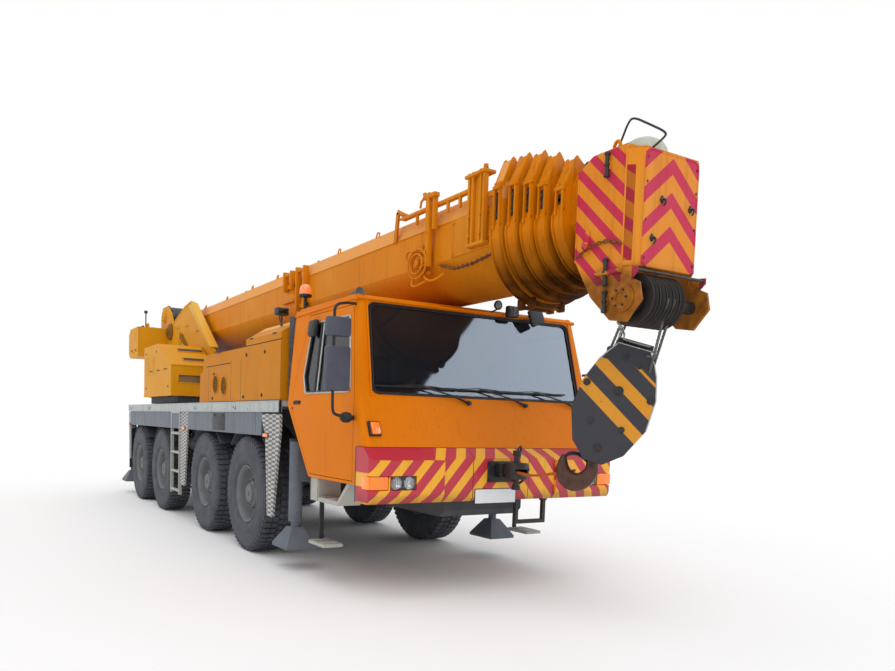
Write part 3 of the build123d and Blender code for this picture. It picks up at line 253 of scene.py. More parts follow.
def mirror_card(name, low_span, high_span, light):
    """A far card that only reflections see: it shapes what the windscreen mirrors."""
    material = bpy.data.materials.new(name)
    material.use_nodes = True
    shader = material.node_tree.nodes["Principled BSDF"]
    shader.inputs["Base Color"].default_value = (0, 0, 0, 1)
    shader.inputs["Specular IOR Level"].default_value = 0.0
    shader.inputs["Emission Color"].default_value = light
    shader.inputs["Emission Strength"].default_value = 1.0
    card = bmesh.new()
    corners = [(turn, 0.33) for turn in low_span] + [(turn, 0.66) for turn in reversed(high_span)]
    for turn, height in corners:
        angle = radians(turn)
        card.verts.new((4 + 40 * cos(angle), 40 * sin(angle), 2 + 40 * height))
    card.faces.new(card.verts)
    mesh = bpy.data.meshes.new(name)
    card.to_mesh(mesh)
    card.free()
    mesh.materials.append(material)
    made = bpy.data.objects.new(name, mesh)
    bpy.context.scene.collection.objects.link(made)
    made.visible_camera = made.visible_diffuse = made.visible_shadow = made.visible_transmission = False


mirror_card("dark_card", (28.0, 28.4), (28.0, 50.3), (0.01, 0.012, 0.014, 1))
mirror_card("bright_card", (28.6, 60.0), (50.5, 60.0), (6.5, 7.5, 9.0, 1))
print("studio ready")

# %% [markdown]
# ## Paint that has worked outdoors
# The crane's paint is thick orange enamel. After years outside it is a little chalky on top, streaked
# where rain runs down and dusty low on the body. One function mixes those three effects from noise
# stretched in different directions, and every painted part calls it with its own colour.

# %% enamel paint
def weather(finish, colour, faded, streak=0.35, blotch=0.5):
    """Sun-faded blotches, then darker rain streaks that run down the sides."""
    cloud = finish.noise(1.3, 5.0)
    colour = finish.mix(colour, faded, cloud.over(0.55, 0.35) * blotch)
    runs = finish.noise(26.0, 4.0, (1, 1, 0.045)).over(0.64, 0.24) * finish.noise(1.1).over(0.48, 0.3)
    return finish.mix(colour, tint(0.24, 0.15, 0.07), runs * streak)


def dents(finish):
    """Very slight waves of rolled sheet, with the peel of sprayed enamel on top."""
    return finish.noise(2.2, 2.0) * 3.0 + finish.noise(260.0, 1.0) * 0.12


def enamel(name, colour, faded, roughness=0.36, streak=0.3, blotch=0.5):
    finish = Finish(name)
    base = weather(finish, tint(*colour), tint(*faded), streak, blotch)
    specks = finish.noise(45.0, 4.0)
    base = finish.mix(base, tint(0.3, 0.18, 0.08), specks.over(0.7, 0.05) * 0.4)
    rough = roughness + finish.noise(5.0, 3.0) * 0.22
    return finish.fill(base, rough, bump=dents(finish), depth=0.001, Specular_IOR_Level=0.08)


def belly_shaded(name, colour, faded):
    """Enamel with painted shade darkening it below 2.86 m, under the boom's belly."""
    finish = Finish(name)
    base = weather(finish, tint(*colour), tint(*faded), 0.5)
    # painted shade: darker below 2.86 m, under the belly
    belly_shade = finish.z.under(2.86, 0.36) * (0.45 + finish.noise(4.0, 4.0) * 0.9)
    base = finish.mix(base, tint(0.13, 0.07, 0.04), belly_shade.math("MINIMUM", belly_shade, 0.92))
    rough = 0.36 + finish.noise(5.0, 3.0) * 0.22
    return finish.fill(base, rough, bump=dents(finish), depth=0.001, Specular_IOR_Level=0.08)


cab_orange = enamel("cab_orange", (0.87, 0.47, 0.0), (0.89, 0.5, 0.0), streak=0.12)
hood_orange = enamel("hood_orange", (0.78, 0.48, 0.03), (0.82, 0.55, 0.11), streak=0.22)
house_orange = enamel("house_orange", (0.85, 0.58, 0.08), (0.88, 0.64, 0.17), streak=0.22)
boom_orange = enamel("boom_orange", (0.83, 0.5, 0.04), (0.87, 0.58, 0.15), streak=0.35)
collar_orange = belly_shaded("collar_orange", (0.82, 0.47, 0.01), (0.85, 0.52, 0.08))
# a paler copy of house orange for the side plates' front edges: painted highlight
highlight_orange = enamel("highlight_orange", (0.9, 0.68, 0.24), (0.92, 0.74, 0.34), streak=0.3)


def seamed(finish):
    """Thin gaps round the hood's doors, as a mask."""
    side = finish.y.size().over(1.352, 0.002)
    gaps = finish.z.under(0.0)
    for x, low, high in ((-0.105, 1.76, 2.215), (0.8, 1.76, 2.25), (1.165, 1.74, 2.25), (2.395, 1.74, 2.34)):
        gaps = gaps + (finish.x - x).size().under(0.0035, 0.001) * finish.z.within(low, high)
    for z, low, high in ((2.375, 1.29, 2.47), (2.215, -0.215, 0.795), (1.745, -0.1, 2.39)):
        gaps = gaps + (finish.z - z).size().under(0.005, 0.001) * finish.x.within(low, high)
    return (gaps * side).math("MINIMUM", gaps * side, 1.0)


def hood_coat():
    finish = Finish("hood_coat")
    base = weather(finish, tint(0.78, 0.48, 0.03), tint(0.82, 0.55, 0.11), 0.22)
    # painted highlight: the hood's top edges along both sides are paler
    crown = finish.z.over(2.545, 0.004) * finish.y.size().over(1.1, 0.01)
    base = finish.mix(base, tint(0.92, 0.7, 0.36), crown * 0.8)
    gaps = seamed(finish)
    base = finish.mix(base, tint(0.16, 0.09, 0.03), gaps)
    rough = 0.38 + finish.noise(5.0, 3.0) * 0.22
    return finish.fill(base, rough, bump=dents(finish) - gaps * 3.0, depth=0.001, Specular_IOR_Level=0.08)


hood_paint = hood_coat()
mesh_tan = enamel("mesh_tan", (0.5, 0.34, 0.12), (0.62, 0.46, 0.22), streak=0.4)
print("enamels mixed")

# %% the boom's coat: a painted highlight on its flat top, warm on its sides, painted shade round the belly
def boom_coat():
    finish = Finish("boom_coat")
    base = weather(finish, tint(0.85, 0.51, 0.04), tint(0.88, 0.59, 0.16), 0.3)
    # painted highlight: paler above 3.335 m on the boom's flat top
    top = finish.z.over(3.335, 0.02)
    base = finish.mix(base, tint(0.9, 0.63, 0.34), top * 0.75)
    # painted shade: darker below 2.86 m round the boom's belly
    belly_shade = finish.z.under(2.86, 0.3) * (0.35 + finish.noise(3.0, 4.0) * 0.5)
    base = finish.mix(base, tint(0.58, 0.27, 0.03), belly_shade)
    rough = 0.36 + finish.noise(4.0) * 0.22
    return finish.fill(base, rough, bump=dents(finish), depth=0.001, Specular_IOR_Level=0.08)


boom_paint = boom_coat()

# %% [markdown]
# ## Warning stripes
# The bumper, the boom head and the hook block carry warning stripes so that traffic sees the crane's
# ends. They are painted, so they are part of the finish: a sloping sum of two coordinates counts the
# stripes, its fraction says which colour, and the plain areas are masks on the same coordinates.

# %% stripes from a sloping sum
CRIMSON = tint(0.74, 0.13, 0.22)
CRIMSON_FADED = tint(0.8, 0.2, 0.3)
SIGNAL_YELLOW = tint(0.95, 0.68, 0.05)


def striped(value, period, share):
    """1 inside each stripe: the fraction of value / period below a share."""
    fraction = value.math("FRACT", value / period)
    edge = 0.006 / period
    return fraction.under(share, edge) * fraction.over(edge, edge)


def hazard_bumper():
    finish = Finish("hazard_bumper")
    out = finish.y.size()
    slope = out + finish.z * 0.88
    pod = out.over(0.64, 0.002) * finish.z.under(1.236, 0.002)
    stripes = striped(slope + pod * 0.105, 0.215, 0.5)
    plain = finish.z.over(1.236, 0.002) * (out + (finish.z - 1.336) * 0.88).over(0.72, 0.003)
    stripes = stripes * (1 - plain)
    front = finish.x.over(4.12, 0.01)
    red = weather(finish, CRIMSON, CRIMSON_FADED, 0.15)
    yellow = weather(finish, SIGNAL_YELLOW, tint(0.93, 0.66, 0.12), 0.2)
    colour = finish.mix(red, yellow, stripes)
    colour = finish.mix(tint(0.1, 0.1, 0.11), colour, front)
    seam = (out - 0.318).size().under(0.0035, 0.001) * finish.z.under(1.33)
    colour = finish.mix(colour, tint(0.1, 0.04, 0.03), seam)
    grime = finish.z.under(0.93, 0.1) * (finish.noise(14.0, 4.0) * 0.8)
    colour = finish.mix(colour, tint(0.2, 0.14, 0.1), grime)
    rough = 0.34 + finish.noise(8.0) * 0.2
    bump = dents(finish) - seam * 2.0
    return finish.fill(colour, rough, bump=bump, depth=0.0012, Coat_Weight=0.15)


def hazard_head():
    finish = Finish("hazard_head")
    ground = weather(finish, tint(0.87, 0.53, 0.15), tint(0.9, 0.61, 0.25), 0.2)
    red = weather(finish, tint(0.76, 0.19, 0.3), tint(0.8, 0.28, 0.38), 0.15)
    cheek = finish.y.size().over(0.3545, 0.001) * finish.z.over(2.56 - 0.02, 0.003)
    cheek = cheek * finish.x.under(5.926, 0.001)
    slot = finish.y.size().within(0.312, 0.3535) * finish.x.over(5.9265, 0.001)
    slot = slot * finish.z.within(2.68, 3.31, 0.003)
    diagonal = striped(finish.x + finish.z + 0.01, 0.192, 0.48) * cheek.math("MAXIMUM", cheek, slot)
    face = finish.x.over(6.0135, 0.001)
    rise = finish.z + finish.y.size() * 0.85
    chevron = striped(rise + 0.109, 0.226, 0.5) * face * rise.over(2.77, 0.002)
    colour = finish.mix(ground, red, diagonal.math("MAXIMUM", diagonal, chevron))
    grime = finish.z.under(2.62, 0.12) * (0.2 + finish.noise(12.0, 4.0) * 0.9)
    colour = finish.mix(colour, tint(0.28, 0.17, 0.09), grime)
    # painted shade: the slot in each cheek is darkened toward brown
    colour = finish.mix(colour, tint(0.42, 0.1, 0.02), slot * 0.52)
    rough = 0.38 + finish.noise(6.0) * 0.2
    return finish.fill(colour, rough, bump=dents(finish) - slot * 2.0, depth=0.0012, Specular_IOR_Level=0.08)


BLOCK_MIDDLE = (5.602, 1.719)
BLOCK_TILT = radians(17.0)
BLOCK_TURN = radians(40.0)


def hazard_block():
    finish = Finish("hazard_block")
    level = (finish.x - BLOCK_MIDDLE[0]) * cos(BLOCK_TURN) + finish.y * sin(BLOCK_TURN)
    out = finish.y * cos(BLOCK_TURN) - (finish.x - BLOCK_MIDDLE[0]) * sin(BLOCK_TURN)
    rise = finish.z - BLOCK_MIDDLE[1]
    across = level * cos(BLOCK_TILT) - rise * sin(BLOCK_TILT)
    along = level * sin(BLOCK_TILT) + rise * cos(BLOCK_TILT)
    stripes = striped(across * 0.56 + along - 0.112 + 0.213 * 4, 0.213, 0.49)
    stripes = stripes * along.within(-0.405, 0.3, 0.003)
    stripes = stripes * (across * 0.56 + along - 0.112).within(-0.315, 0.24, 0.004)
    grey = weather(finish, tint(0.155, 0.155, 0.185), tint(0.21, 0.21, 0.245), 0.3)
    yellow = weather(finish, tint(0.84, 0.55, 0.04), tint(0.8, 0.55, 0.12), 0.25)
    colour = finish.mix(grey, yellow, stripes * out.size().over(0.1495, 0.0006))
    chips = finish.noise(26.0, 6.0).over(0.7, 0.02)
    colour = finish.mix(colour, tint(0.16, 0.13, 0.12), chips)
    rough = 0.42 + finish.noise(9.0) * 0.25
    bump = dents(finish) - chips * 0.4
    return finish.fill(colour, rough, bump=bump, depth=0.0012)


bumper_paint = hazard_bumper()
head_paint = hazard_head()
block_paint = hazard_block()
print("warning stripes painted")

# %% [markdown]
# ## Chassis, deck, steel and rubber
# Under the deck everything is grey-blue chassis paint under road dust; the frame, axles, tanks, shafts and
# mudguards take a darker copy of that grey as painted shade. The deck's edge is bare aluminium, and the
# narrow guards beside the wheels are tread plate: columns of short level bars.
# One fraction counts the bars up the plate, and every second column is shifted by half a bar.

# %% chassis grey and road dust
def dusty(finish, colour, dust, amount=0.6, top=1.5):
    """Road dust that lies thicker low down and in blotches."""
    low = finish.z.under(top, 1.4) * 0.6 + 0.2
    return finish.mix(colour, dust, low * finish.noise(6.0, 5.0).over(0.42, 0.4) * amount)


def chassis(name, colour, dust, roughness=0.62, amount=0.6):
    finish = Finish(name)
    base = dusty(finish, tint(*colour), tint(*dust), amount)
    chips = finish.noise(38.0, 5.0).over(0.68, 0.04)
    base = finish.mix(base, tint(0.2, 0.16, 0.13), chips * 0.6)
    bump = finish.noise(60.0, 3.0) * 0.4 + finish.noise(3.0)
    return finish.fill(base, roughness + finish.noise(7.0) * 0.2, bump=bump, depth=0.0015)


chassis_grey = chassis("chassis_grey", (0.34, 0.38, 0.43), (0.46, 0.47, 0.48))
# a darker copy of chassis grey for the frame, axles, tanks, shafts and mudguards under the deck: painted
# shade
shaded_under_grey = chassis("shaded_under_grey", (0.2, 0.22, 0.25), (0.33, 0.33, 0.33))
rim_grey = chassis("rim_grey", (0.37, 0.39, 0.41), (0.47, 0.47, 0.46), amount=0.8)


def ladder_paint():
    """Pale grey steps on dark hangers."""
    finish = Finish("step_grey")
    base = dusty(finish, tint(0.7, 0.7, 0.67), tint(0.55, 0.53, 0.5), 0.35)
    hanger = finish.z.within(0.402, 0.79) * finish.x.within(3.1, 3.17)
    base = finish.mix(base, tint(0.14, 0.14, 0.15), hanger)
    return finish.fill(base, 0.6 + finish.noise(7.0) * 0.2, bump=finish.noise(60.0, 3.0), depth=0.0015)


step_grey = ladder_paint()


def chequer(finish):
    """Height of short level bars in columns, each column half a step above the next."""
    column = (finish.x / 0.2).math("FRACT", finish.x / 0.2).under(0.5, 0.03)
    rise = (finish.z + finish.y + column * 0.024) / 0.048
    bars = rise.math("FRACT", rise)
    return bars.over(0.1, 0.1) * bars.under(0.58, 0.1)


def deck_finish():
    finish = Finish("deck_finish")
    plate = chequer(finish)
    silver = finish.mix(tint(0.66, 0.69, 0.69), tint(0.74, 0.76, 0.75), finish.noise(2.0, 4.0))
    band = dusty(finish, tint(0.37, 0.41, 0.46), tint(0.46, 0.48, 0.5))
    side = finish.y.size().over(1.33, 0.004)
    guard = finish.x.over(1.885) + finish.x.within(-1.5, -1.08) + finish.x.under(-5.17)
    pressed = finish.mix(tint(0.4, 0.41, 0.44), tint(0.8, 0.78, 0.75), plate)
    pressed = dusty(finish, pressed, tint(0.55, 0.54, 0.53), 0.25)
    lower = finish.mix(band, pressed, guard)
    upper = finish.z.over(1.62, 0.002)
    colour = finish.mix(lower, silver, upper)
    walkway = finish.mix(tint(0.46, 0.49, 0.51), tint(0.62, 0.64, 0.64), plate)
    top = finish.z.over(1.7395, 0.0005) * finish.y.size().under(1.34)
    colour = finish.mix(colour, walkway, top)
    streaks = finish.noise(16.0, 4.0, (1, 1, 0.1)).over(0.6, 0.2) * 0.35 * side
    colour = finish.mix(colour, tint(0.24, 0.23, 0.22), streaks)
    raised = plate * (guard * (1 - upper) + top)
    bump = raised * 2.5 + finish.noise(50.0) * 0.3
    rough = 0.42 + finish.noise(8.0) * 0.25
    return finish.fill(colour, rough, 0.25 * upper, bump=bump, depth=0.002)


def step_tread():
    finish = Finish("step_tread")
    bars = finish.x.wave(0.032).over(0.4, 0.3)
    colour = finish.mix(tint(0.42, 0.42, 0.41), tint(0.8, 0.79, 0.76), bars)
    colour = dusty(finish, colour, tint(0.5, 0.47, 0.43), 0.3)
    return finish.fill(colour, 0.45 + finish.noise(9.0) * 0.2, 0.3, bump=bars, depth=0.003)


deck_plate = deck_finish()
tread_plate = step_tread()

# %% steel, rubber, plastic and glass
def plain(name, colour, other, roughness, metallic=0.0, scale=8.0, grain=120.0, depth=0.0006, **fixed):
    """A finish of one substance: two shades in clouds, uneven gloss and a fine grain."""
    finish = Finish(name)
    cloud = finish.noise(scale, 5.0)
    base = finish.mix(tint(*colour), tint(*other), cloud.over(0.5, 0.5))
    rough = roughness - 0.08 + finish.noise(scale * 2.5, 4.0) * 0.22
    return finish.fill(base, rough, metallic, bump=finish.noise(grain, 2.0), depth=depth, **fixed)


tyre_rubber = plain("tyre_rubber", (0.23, 0.24, 0.27), (0.34, 0.35, 0.37), 0.8, scale=5.0, depth=0.0012)
seal_rubber = plain("seal_rubber", (0.055, 0.058, 0.062), (0.09, 0.09, 0.095), 0.5)
black_plastic = plain("black_plastic", (0.07, 0.075, 0.085), (0.11, 0.115, 0.125), 0.48, grain=400.0)
mirror_plastic = plain("mirror_plastic", (0.23, 0.24, 0.3), (0.29, 0.3, 0.35), 0.46, grain=300.0)
dark_steel = plain("dark_steel", (0.17, 0.16, 0.16), (0.27, 0.25, 0.24), 0.5, 0.5, grain=60.0)
exhaust_paint = plain("exhaust_paint", (0.22, 0.22, 0.24), (0.31, 0.29, 0.29), 0.6, 0.2)
greasy_steel = plain("greasy_steel", (0.26, 0.23, 0.2), (0.48, 0.42, 0.34), 0.42, 0.7, grain=90.0)
shaded_paint = plain("shaded_paint", (0.56, 0.43, 0.26), (0.47, 0.37, 0.25), 0.6)
rusty_chain = plain("rusty_chain", (0.56, 0.33, 0.12), (0.4, 0.24, 0.12), 0.6, 0.2, scale=30.0)
chrome = plain("chromed_rod", (0.8, 0.8, 0.8), (0.88, 0.88, 0.88), 0.16, 1.0, depth=0.0001)
forged_hook = plain("forged_hook", (0.25, 0.15, 0.11), (0.36, 0.24, 0.18), 0.4, 0.35, scale=12.0, depth=0.001)
wire_rope = plain("wire_rope", (0.3, 0.3, 0.31), (0.46, 0.45, 0.43), 0.45, 0.7, grain=500.0)
galvanised = plain("galvanised", (0.62, 0.63, 0.63), (0.74, 0.74, 0.73), 0.4, 0.8, scale=30.0)
cab_trim = plain("cab_trim", (0.12, 0.12, 0.13), (0.18, 0.18, 0.19), 0.75, grain=500.0)
seat_cloth = plain("seat_cloth", (0.16, 0.17, 0.2), (0.24, 0.25, 0.28), 0.92, grain=900.0, Sheen_Weight=0.3)
blank_plate = plain("blank_plate", (0.86, 0.87, 0.88), (0.91, 0.91, 0.92), 0.3)
strap_web = plain("strap_web", (0.8, 0.38, 0.1), (0.62, 0.28, 0.08), 0.85, grain=700.0)
dome_paint = plain("dome_paint", (0.66, 0.68, 0.62), (0.75, 0.76, 0.7), 0.35)


def clear(name, colour, roughness=0.02, ribs=None, **fixed):
    """Tinted see-through lens or pane, with optional moulded ribs across it."""
    finish = Finish(name)
    shade = finish.mix(tint(*colour), tint(*[c * 0.85 for c in colour]), finish.noise(3.0, 3.0))
    bump = finish.y.wave(ribs) if ribs else finish.noise(0.9, 1.0)
    rough = roughness + finish.noise(7.0, 4.0) * 0.05
    depth = 0.002 if ribs else 0.0006
    return finish.fill(shade, rough, bump=bump, depth=depth, Transmission_Weight=1.0, **fixed)



def dark_pane():
    """Tinted cab glass: a smooth dark film that lets a third of the light through."""
    finish = Finish("cab_glass")
    film = finish.mix(tint(0.1, 0.12, 0.14), tint(0.13, 0.15, 0.17), finish.noise(1.2, 2.0))
    rough = 0.015 + finish.noise(3.0, 4.0) * 0.03
    return finish.fill(film, rough, Alpha=0.74, IOR=1.5, Specular_IOR_Level=0.6)


def coloured_lens(name, colour, deep, painted_glow):
    """Moulded lens of bright plastic, ribbed inside, with a painted glow for the daylight that passes through
    it.
    """
    finish = Finish(name)
    ribs = finish.y.wave(0.022)
    shade = finish.mix(tint(*deep), tint(*colour), ribs * 0.6 + finish.noise(9.0) * 0.5)
    return finish.fill(shade, 0.16 + finish.noise(6.0) * 0.08, bump=ribs, depth=0.0015, Coat_Weight=0.6,
                       Emission_Color=tint(*colour), Emission_Strength=painted_glow)


cab_glass = dark_pane()
amber_lens = coloured_lens("amber_lens", (1.0, 0.52, 0.02), (0.9, 0.34, 0.0), 0.3)
red_lens = coloured_lens("red_lens", (0.85, 0.1, 0.07), (0.55, 0.02, 0.02), 0.1)
beacon_lens = coloured_lens("beacon_lens", (1.0, 0.55, 0.3), (0.93, 0.36, 0.12), 0.35)
lamp_glass = clear("lamp_glass", (0.95, 0.96, 0.97), 0.03, 0.018)
reflector = plain("reflector", (0.88, 0.88, 0.88), (0.93, 0.93, 0.93), 0.12, 1.0, depth=0.0001)
mirror_face = plain("mirror_face", (0.75, 0.77, 0.8), (0.8, 0.82, 0.84), 0.08, 1.0, depth=0.00005)
print(len(bpy.data.materials), "finishes")

# %% [markdown]
# ## Modelling tools
# New pieces are made in bmesh, Blender's mesh workbench. Most of a crane is plate with softened
# edges, flat sheet, round bar, bent tube and turned parts, so five small tools make almost
# everything: block, bar, sheet, pipe and lathe. Each adds to an open bmesh, so one piece may hold many.

# %% blocks, bars and plates
UP = Matrix.Identity(4)
ALONG_Y = Matrix.Rotation(-pi / 2, 4, "X")
ALONG_X = Matrix.Rotation(pi / 2, 4, "Y")
SIDES = {"right": -1, "left": 1}


def soften(work, edges, width, segments=2):
    """Round a set of edges a little, as folded or ground metal is."""
    bmesh.ops.bevel(work, geom=edges, offset=width, affect="EDGES", segments=segments, profile=0.5,
                    material=-1, clamp_overlap=True)


def block(work, low, high, edge=0.004, turn=UP):
    """Softened block between two corners, then turned."""
    low, high = Vector(low), Vector(high)
    size = high - low
    shape = Matrix.Translation((low + high) / 2) @ Matrix.Diagonal((*size, 1))
    made = bmesh.ops.create_cube(work, size=1, matrix=turn @ shape)
    if edge:
        edges = list({e for v in made["verts"] for e in v.link_edges})
        soften(work, edges, min(edge, min(abs(s) for s in size) * 0.45))


def sided(side, low, high):
    """Corners of a block given by its distances from the middle plane, on one side."""
    low, high = list(low), list(high)
    if side < 0:
        low[1], high[1] = -high[1], -low[1]
    return low, high


def bar(work, start, end, radius, sides=14, end_radius=None):
    """Round bar between two points."""
    start, end = Vector(start), Vector(end)
    way = end - start
    place = Matrix.Translation((start + end) / 2) @ way.to_track_quat("Z", "Y").to_matrix().to_4x4()
    bmesh.ops.create_cone(work, cap_ends=True, segments=sides, radius1=radius, depth=way.length,
                          radius2=radius if end_radius is None else end_radius, matrix=place)


def sheet(work, outline, push, edge=0):
    """Flat plate: an outline of points in space, given a thickness along push."""
    points = [work.verts.new(p) for p in outline]
    face = work.faces.new(points)
    grown = bmesh.ops.extrude_face_region(work, geom=[face])
    moved = [v for v in grown["geom"] if isinstance(v, bmesh.types.BMVert)]
    bmesh.ops.translate(work, vec=push, verts=moved)
    if edge:
        soften(work, list({e for v in points + moved for e in v.link_edges}), edge)


# %% pipes and turned parts
def pipe(work, route, radius, bent=True, sides=3):
    """Tube along a route of points: a bent one runs smoothly past its inner points."""
    curve = bpy.data.curves.new("route", "CURVE")
    curve.dimensions = "3D"
    curve.bevel_depth = radius
    curve.bevel_resolution = sides
    curve.use_fill_caps = True
    curve.resolution_u = 6
    line = curve.splines.new("NURBS" if bent else "POLY")
    line.points.add(len(route) - 1)
    for point, place in zip(line.points, route):
        point.co = (*place, 1)
    if bent:
        line.order_u = 3
        line.use_endpoint_u = True
    holder = bpy.data.objects.new("route", curve)
    bpy.context.scene.collection.objects.link(holder)
    bpy.context.view_layer.update()
    mesh = bpy.data.meshes.new_from_object(holder)
    work.from_mesh(mesh)
    bpy.data.objects.remove(holder)
    bpy.data.meshes.remove(mesh)
    bpy.data.curves.remove(curve)


def lathe(work, outline, place, steps=48):
    """Turn an outline of (radius, height) points about the Z axis of a placed frame."""
    points = [work.verts.new((radius, 0, height)) for radius, height in outline]
    edges = [work.edges.new(pair) for pair in zip(points, points[1:])]
    before = set(work.verts)
    bmesh.ops.spin(work, geom=points + edges, cent=(0, 0, 0), axis=(0, 0, 1), angle=2 * pi,
                   steps=steps, use_merge=True, use_duplicate=False)
    turned = points + [v for v in work.verts if v not in before]
    bmesh.ops.remove_doubles(work, verts=turned, dist=1e-5)
    turned = [v for v in turned if v.is_valid]
    bmesh.ops.transform(work, matrix=place, verts=turned)


def spun_at(centre, axis=ALONG_Y):
    """Frame of a lathe whose axis passes through a point."""
    return Matrix.Translation(centre) @ axis


# %% a finished piece
def piece(work, name, body, finish, sharp=34, replaces=None):
    """Turn a bmesh into a piece that rides on a body, with smooth faces between sharp edges."""
    bmesh.ops.recalc_face_normals(work, faces=work.faces)
    mesh = bpy.data.meshes.new(name)
    work.to_mesh(mesh)
    work.free()
    mesh.materials.append(finish)
    mesh.shade_smooth()
    mesh.set_sharp_from_angle(angle=radians(sharp))
    made = bpy.data.objects.new(name, mesh)
    bpy.context.scene.collection.objects.link(made)
    if body:
        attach(made, body)
    if replaces:
        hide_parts(replaces)
    return made


def dress(finish, *nodes):
    """Give nodes of the frame their finish."""
    for name in nodes:
        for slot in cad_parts[name].material_slots:
            slot.material = finish


def bolt_circle(work, centre, reach, count, radius, height):
    """Hexagon heads in a circle on a side face: a negative height points to the right."""
    for number in range(count):
        angle = number * 2 * pi / count
        spot = Vector(centre) + Vector((cos(angle) * reach, 0, sin(angle) * reach))
        bar(work, spot, spot + Vector((0, height, 0)), radius, 6)


print("tools ready")

# %% [markdown]
# ## Finishes for the parts of the frame
# Most of the frame's own shapes stay in view. Each gets the finish of its real surface, and the ones
# with several colours carry masks on their coordinates.

# %% dress the frame
dress(cab_orange, "cab_shell", "cab_door_right", "cab_door_left")
dress(cab_glass, "windscreen", "door_glass_right", "door_glass_left")
dress(cab_trim, "cab_interior")
dress(bumper_paint, "front_bumper")
dress(dark_steel, "towing_jaw", "slew_ring", "engine_block")
dress(mirror_plastic, "mirrors")
dress(hood_paint, "engine_hood")
dress(exhaust_paint, "exhaust_stack")
dress(house_orange, "power_house", "counterweight", "turntable", "crane_cab", "crane_cab_door")
dress(deck_plate, "deck")
dress(step_grey, "access_ladders")
dress(chassis_grey, "outrigger_boxes")
dress(shaded_under_grey, "chassis_frame", "axle_beams")
dress(boom_paint, "boom_base")
dress(collar_orange, *[f"boom_section_{number}" for number in range(1, 6)])
dress(head_paint, "boom_head")
dress(greasy_steel, "head_sheaves", "winch_drum")
dress(house_orange, "luff_barrel")
dress(chrome, "luff_rod")
dress(block_paint, "hook_block")
dress(forged_hook, "hook")
for node_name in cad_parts:
    if node_name.startswith(("outrigger_beam", "jack_leg")):
        dress(chassis_grey, node_name)
    if node_name.startswith("knuckle"):
        dress(shaded_under_grey, node_name)
print("frame dressed")

# %% [markdown]
# ## Wheels
# The tyres are 1.34 m tall with a worn block tread. A tyre is turned on the lathe from its section:
# bead, bulging sidewall with moulded rings, shoulder and crown. The tread blocks are then cut as
# separate low blocks round the shoulder, because a bump alone would leave a smooth outline.

# %% measures of one wheel
HUB_HEIGHT = 0.668
wheel_low, wheel_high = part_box("wheel_1_right")
WHEEL_MIDDLE_Y = (abs(wheel_low.y) + abs(wheel_high.y)) / 2
AXLES = [(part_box(f"wheel_{n}_right")[0].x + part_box(f"wheel_{n}_right")[1].x) / 2 for n in range(1, 5)]
TREAD_PITCHES = 54
print("wheel centres at", [round(x, 3) for x in AXLES], "and", round(WHEEL_MIDDLE_Y, 4), "from the middle")


# %% tyre section
def tyre_ring():
    """One tyre about the Z axis, outer side up, as a bmesh."""
    work = bmesh.new()
    outline = [
        (0.318, -0.142), (0.345, -0.15), (0.395, -0.176), (0.455, -0.187), (0.52, -0.187),
        (0.585, -0.18), (0.622, -0.166), (0.64, -0.15), (0.646, -0.12), (0.648, 0),
        (0.646, 0.12), (0.64, 0.15), (0.622, 0.166), (0.606, 0.1735), (0.602, 0.1795),
        (0.588, 0.1815), (0.582, 0.1775), (0.52, 0.187), (0.47, 0.1865), (0.462, 0.1835),
        (0.454, 0.1865), (0.4, 0.177), (0.392, 0.1775), (0.384, 0.172), (0.352, 0.158),
        (0.345, 0.15), (0.318, 0.142),
    ]
    lathe(work, outline, UP, 72)
    for index in range(TREAD_PITCHES):
        around = Matrix.Rotation(2 * pi * index / TREAD_PITCHES, 4, "Z")
        half_pitch = Matrix.Rotation(pi / TREAD_PITCHES, 4, "Z")
        for lean, side in ((around, 1), (around @ half_pitch, -1)):
            shoulder = sorted((side * 0.078, side * 0.152))
            block(work, (0.636, -0.026, shoulder[0]), (0.665, 0.026, shoulder[1]), 0, lean)
            middle = sorted((side * 0.008, side * 0.068))
            block(work, (0.64, -0.024, middle[0]), (0.667, 0.024, middle[1]), 0, lean)
            lug = sorted((side * 0.146, side * 0.171))
            block(work, (0.59, -0.017, lug[0]), (0.65, 0.017, lug[1]), 0, lean)
    return work
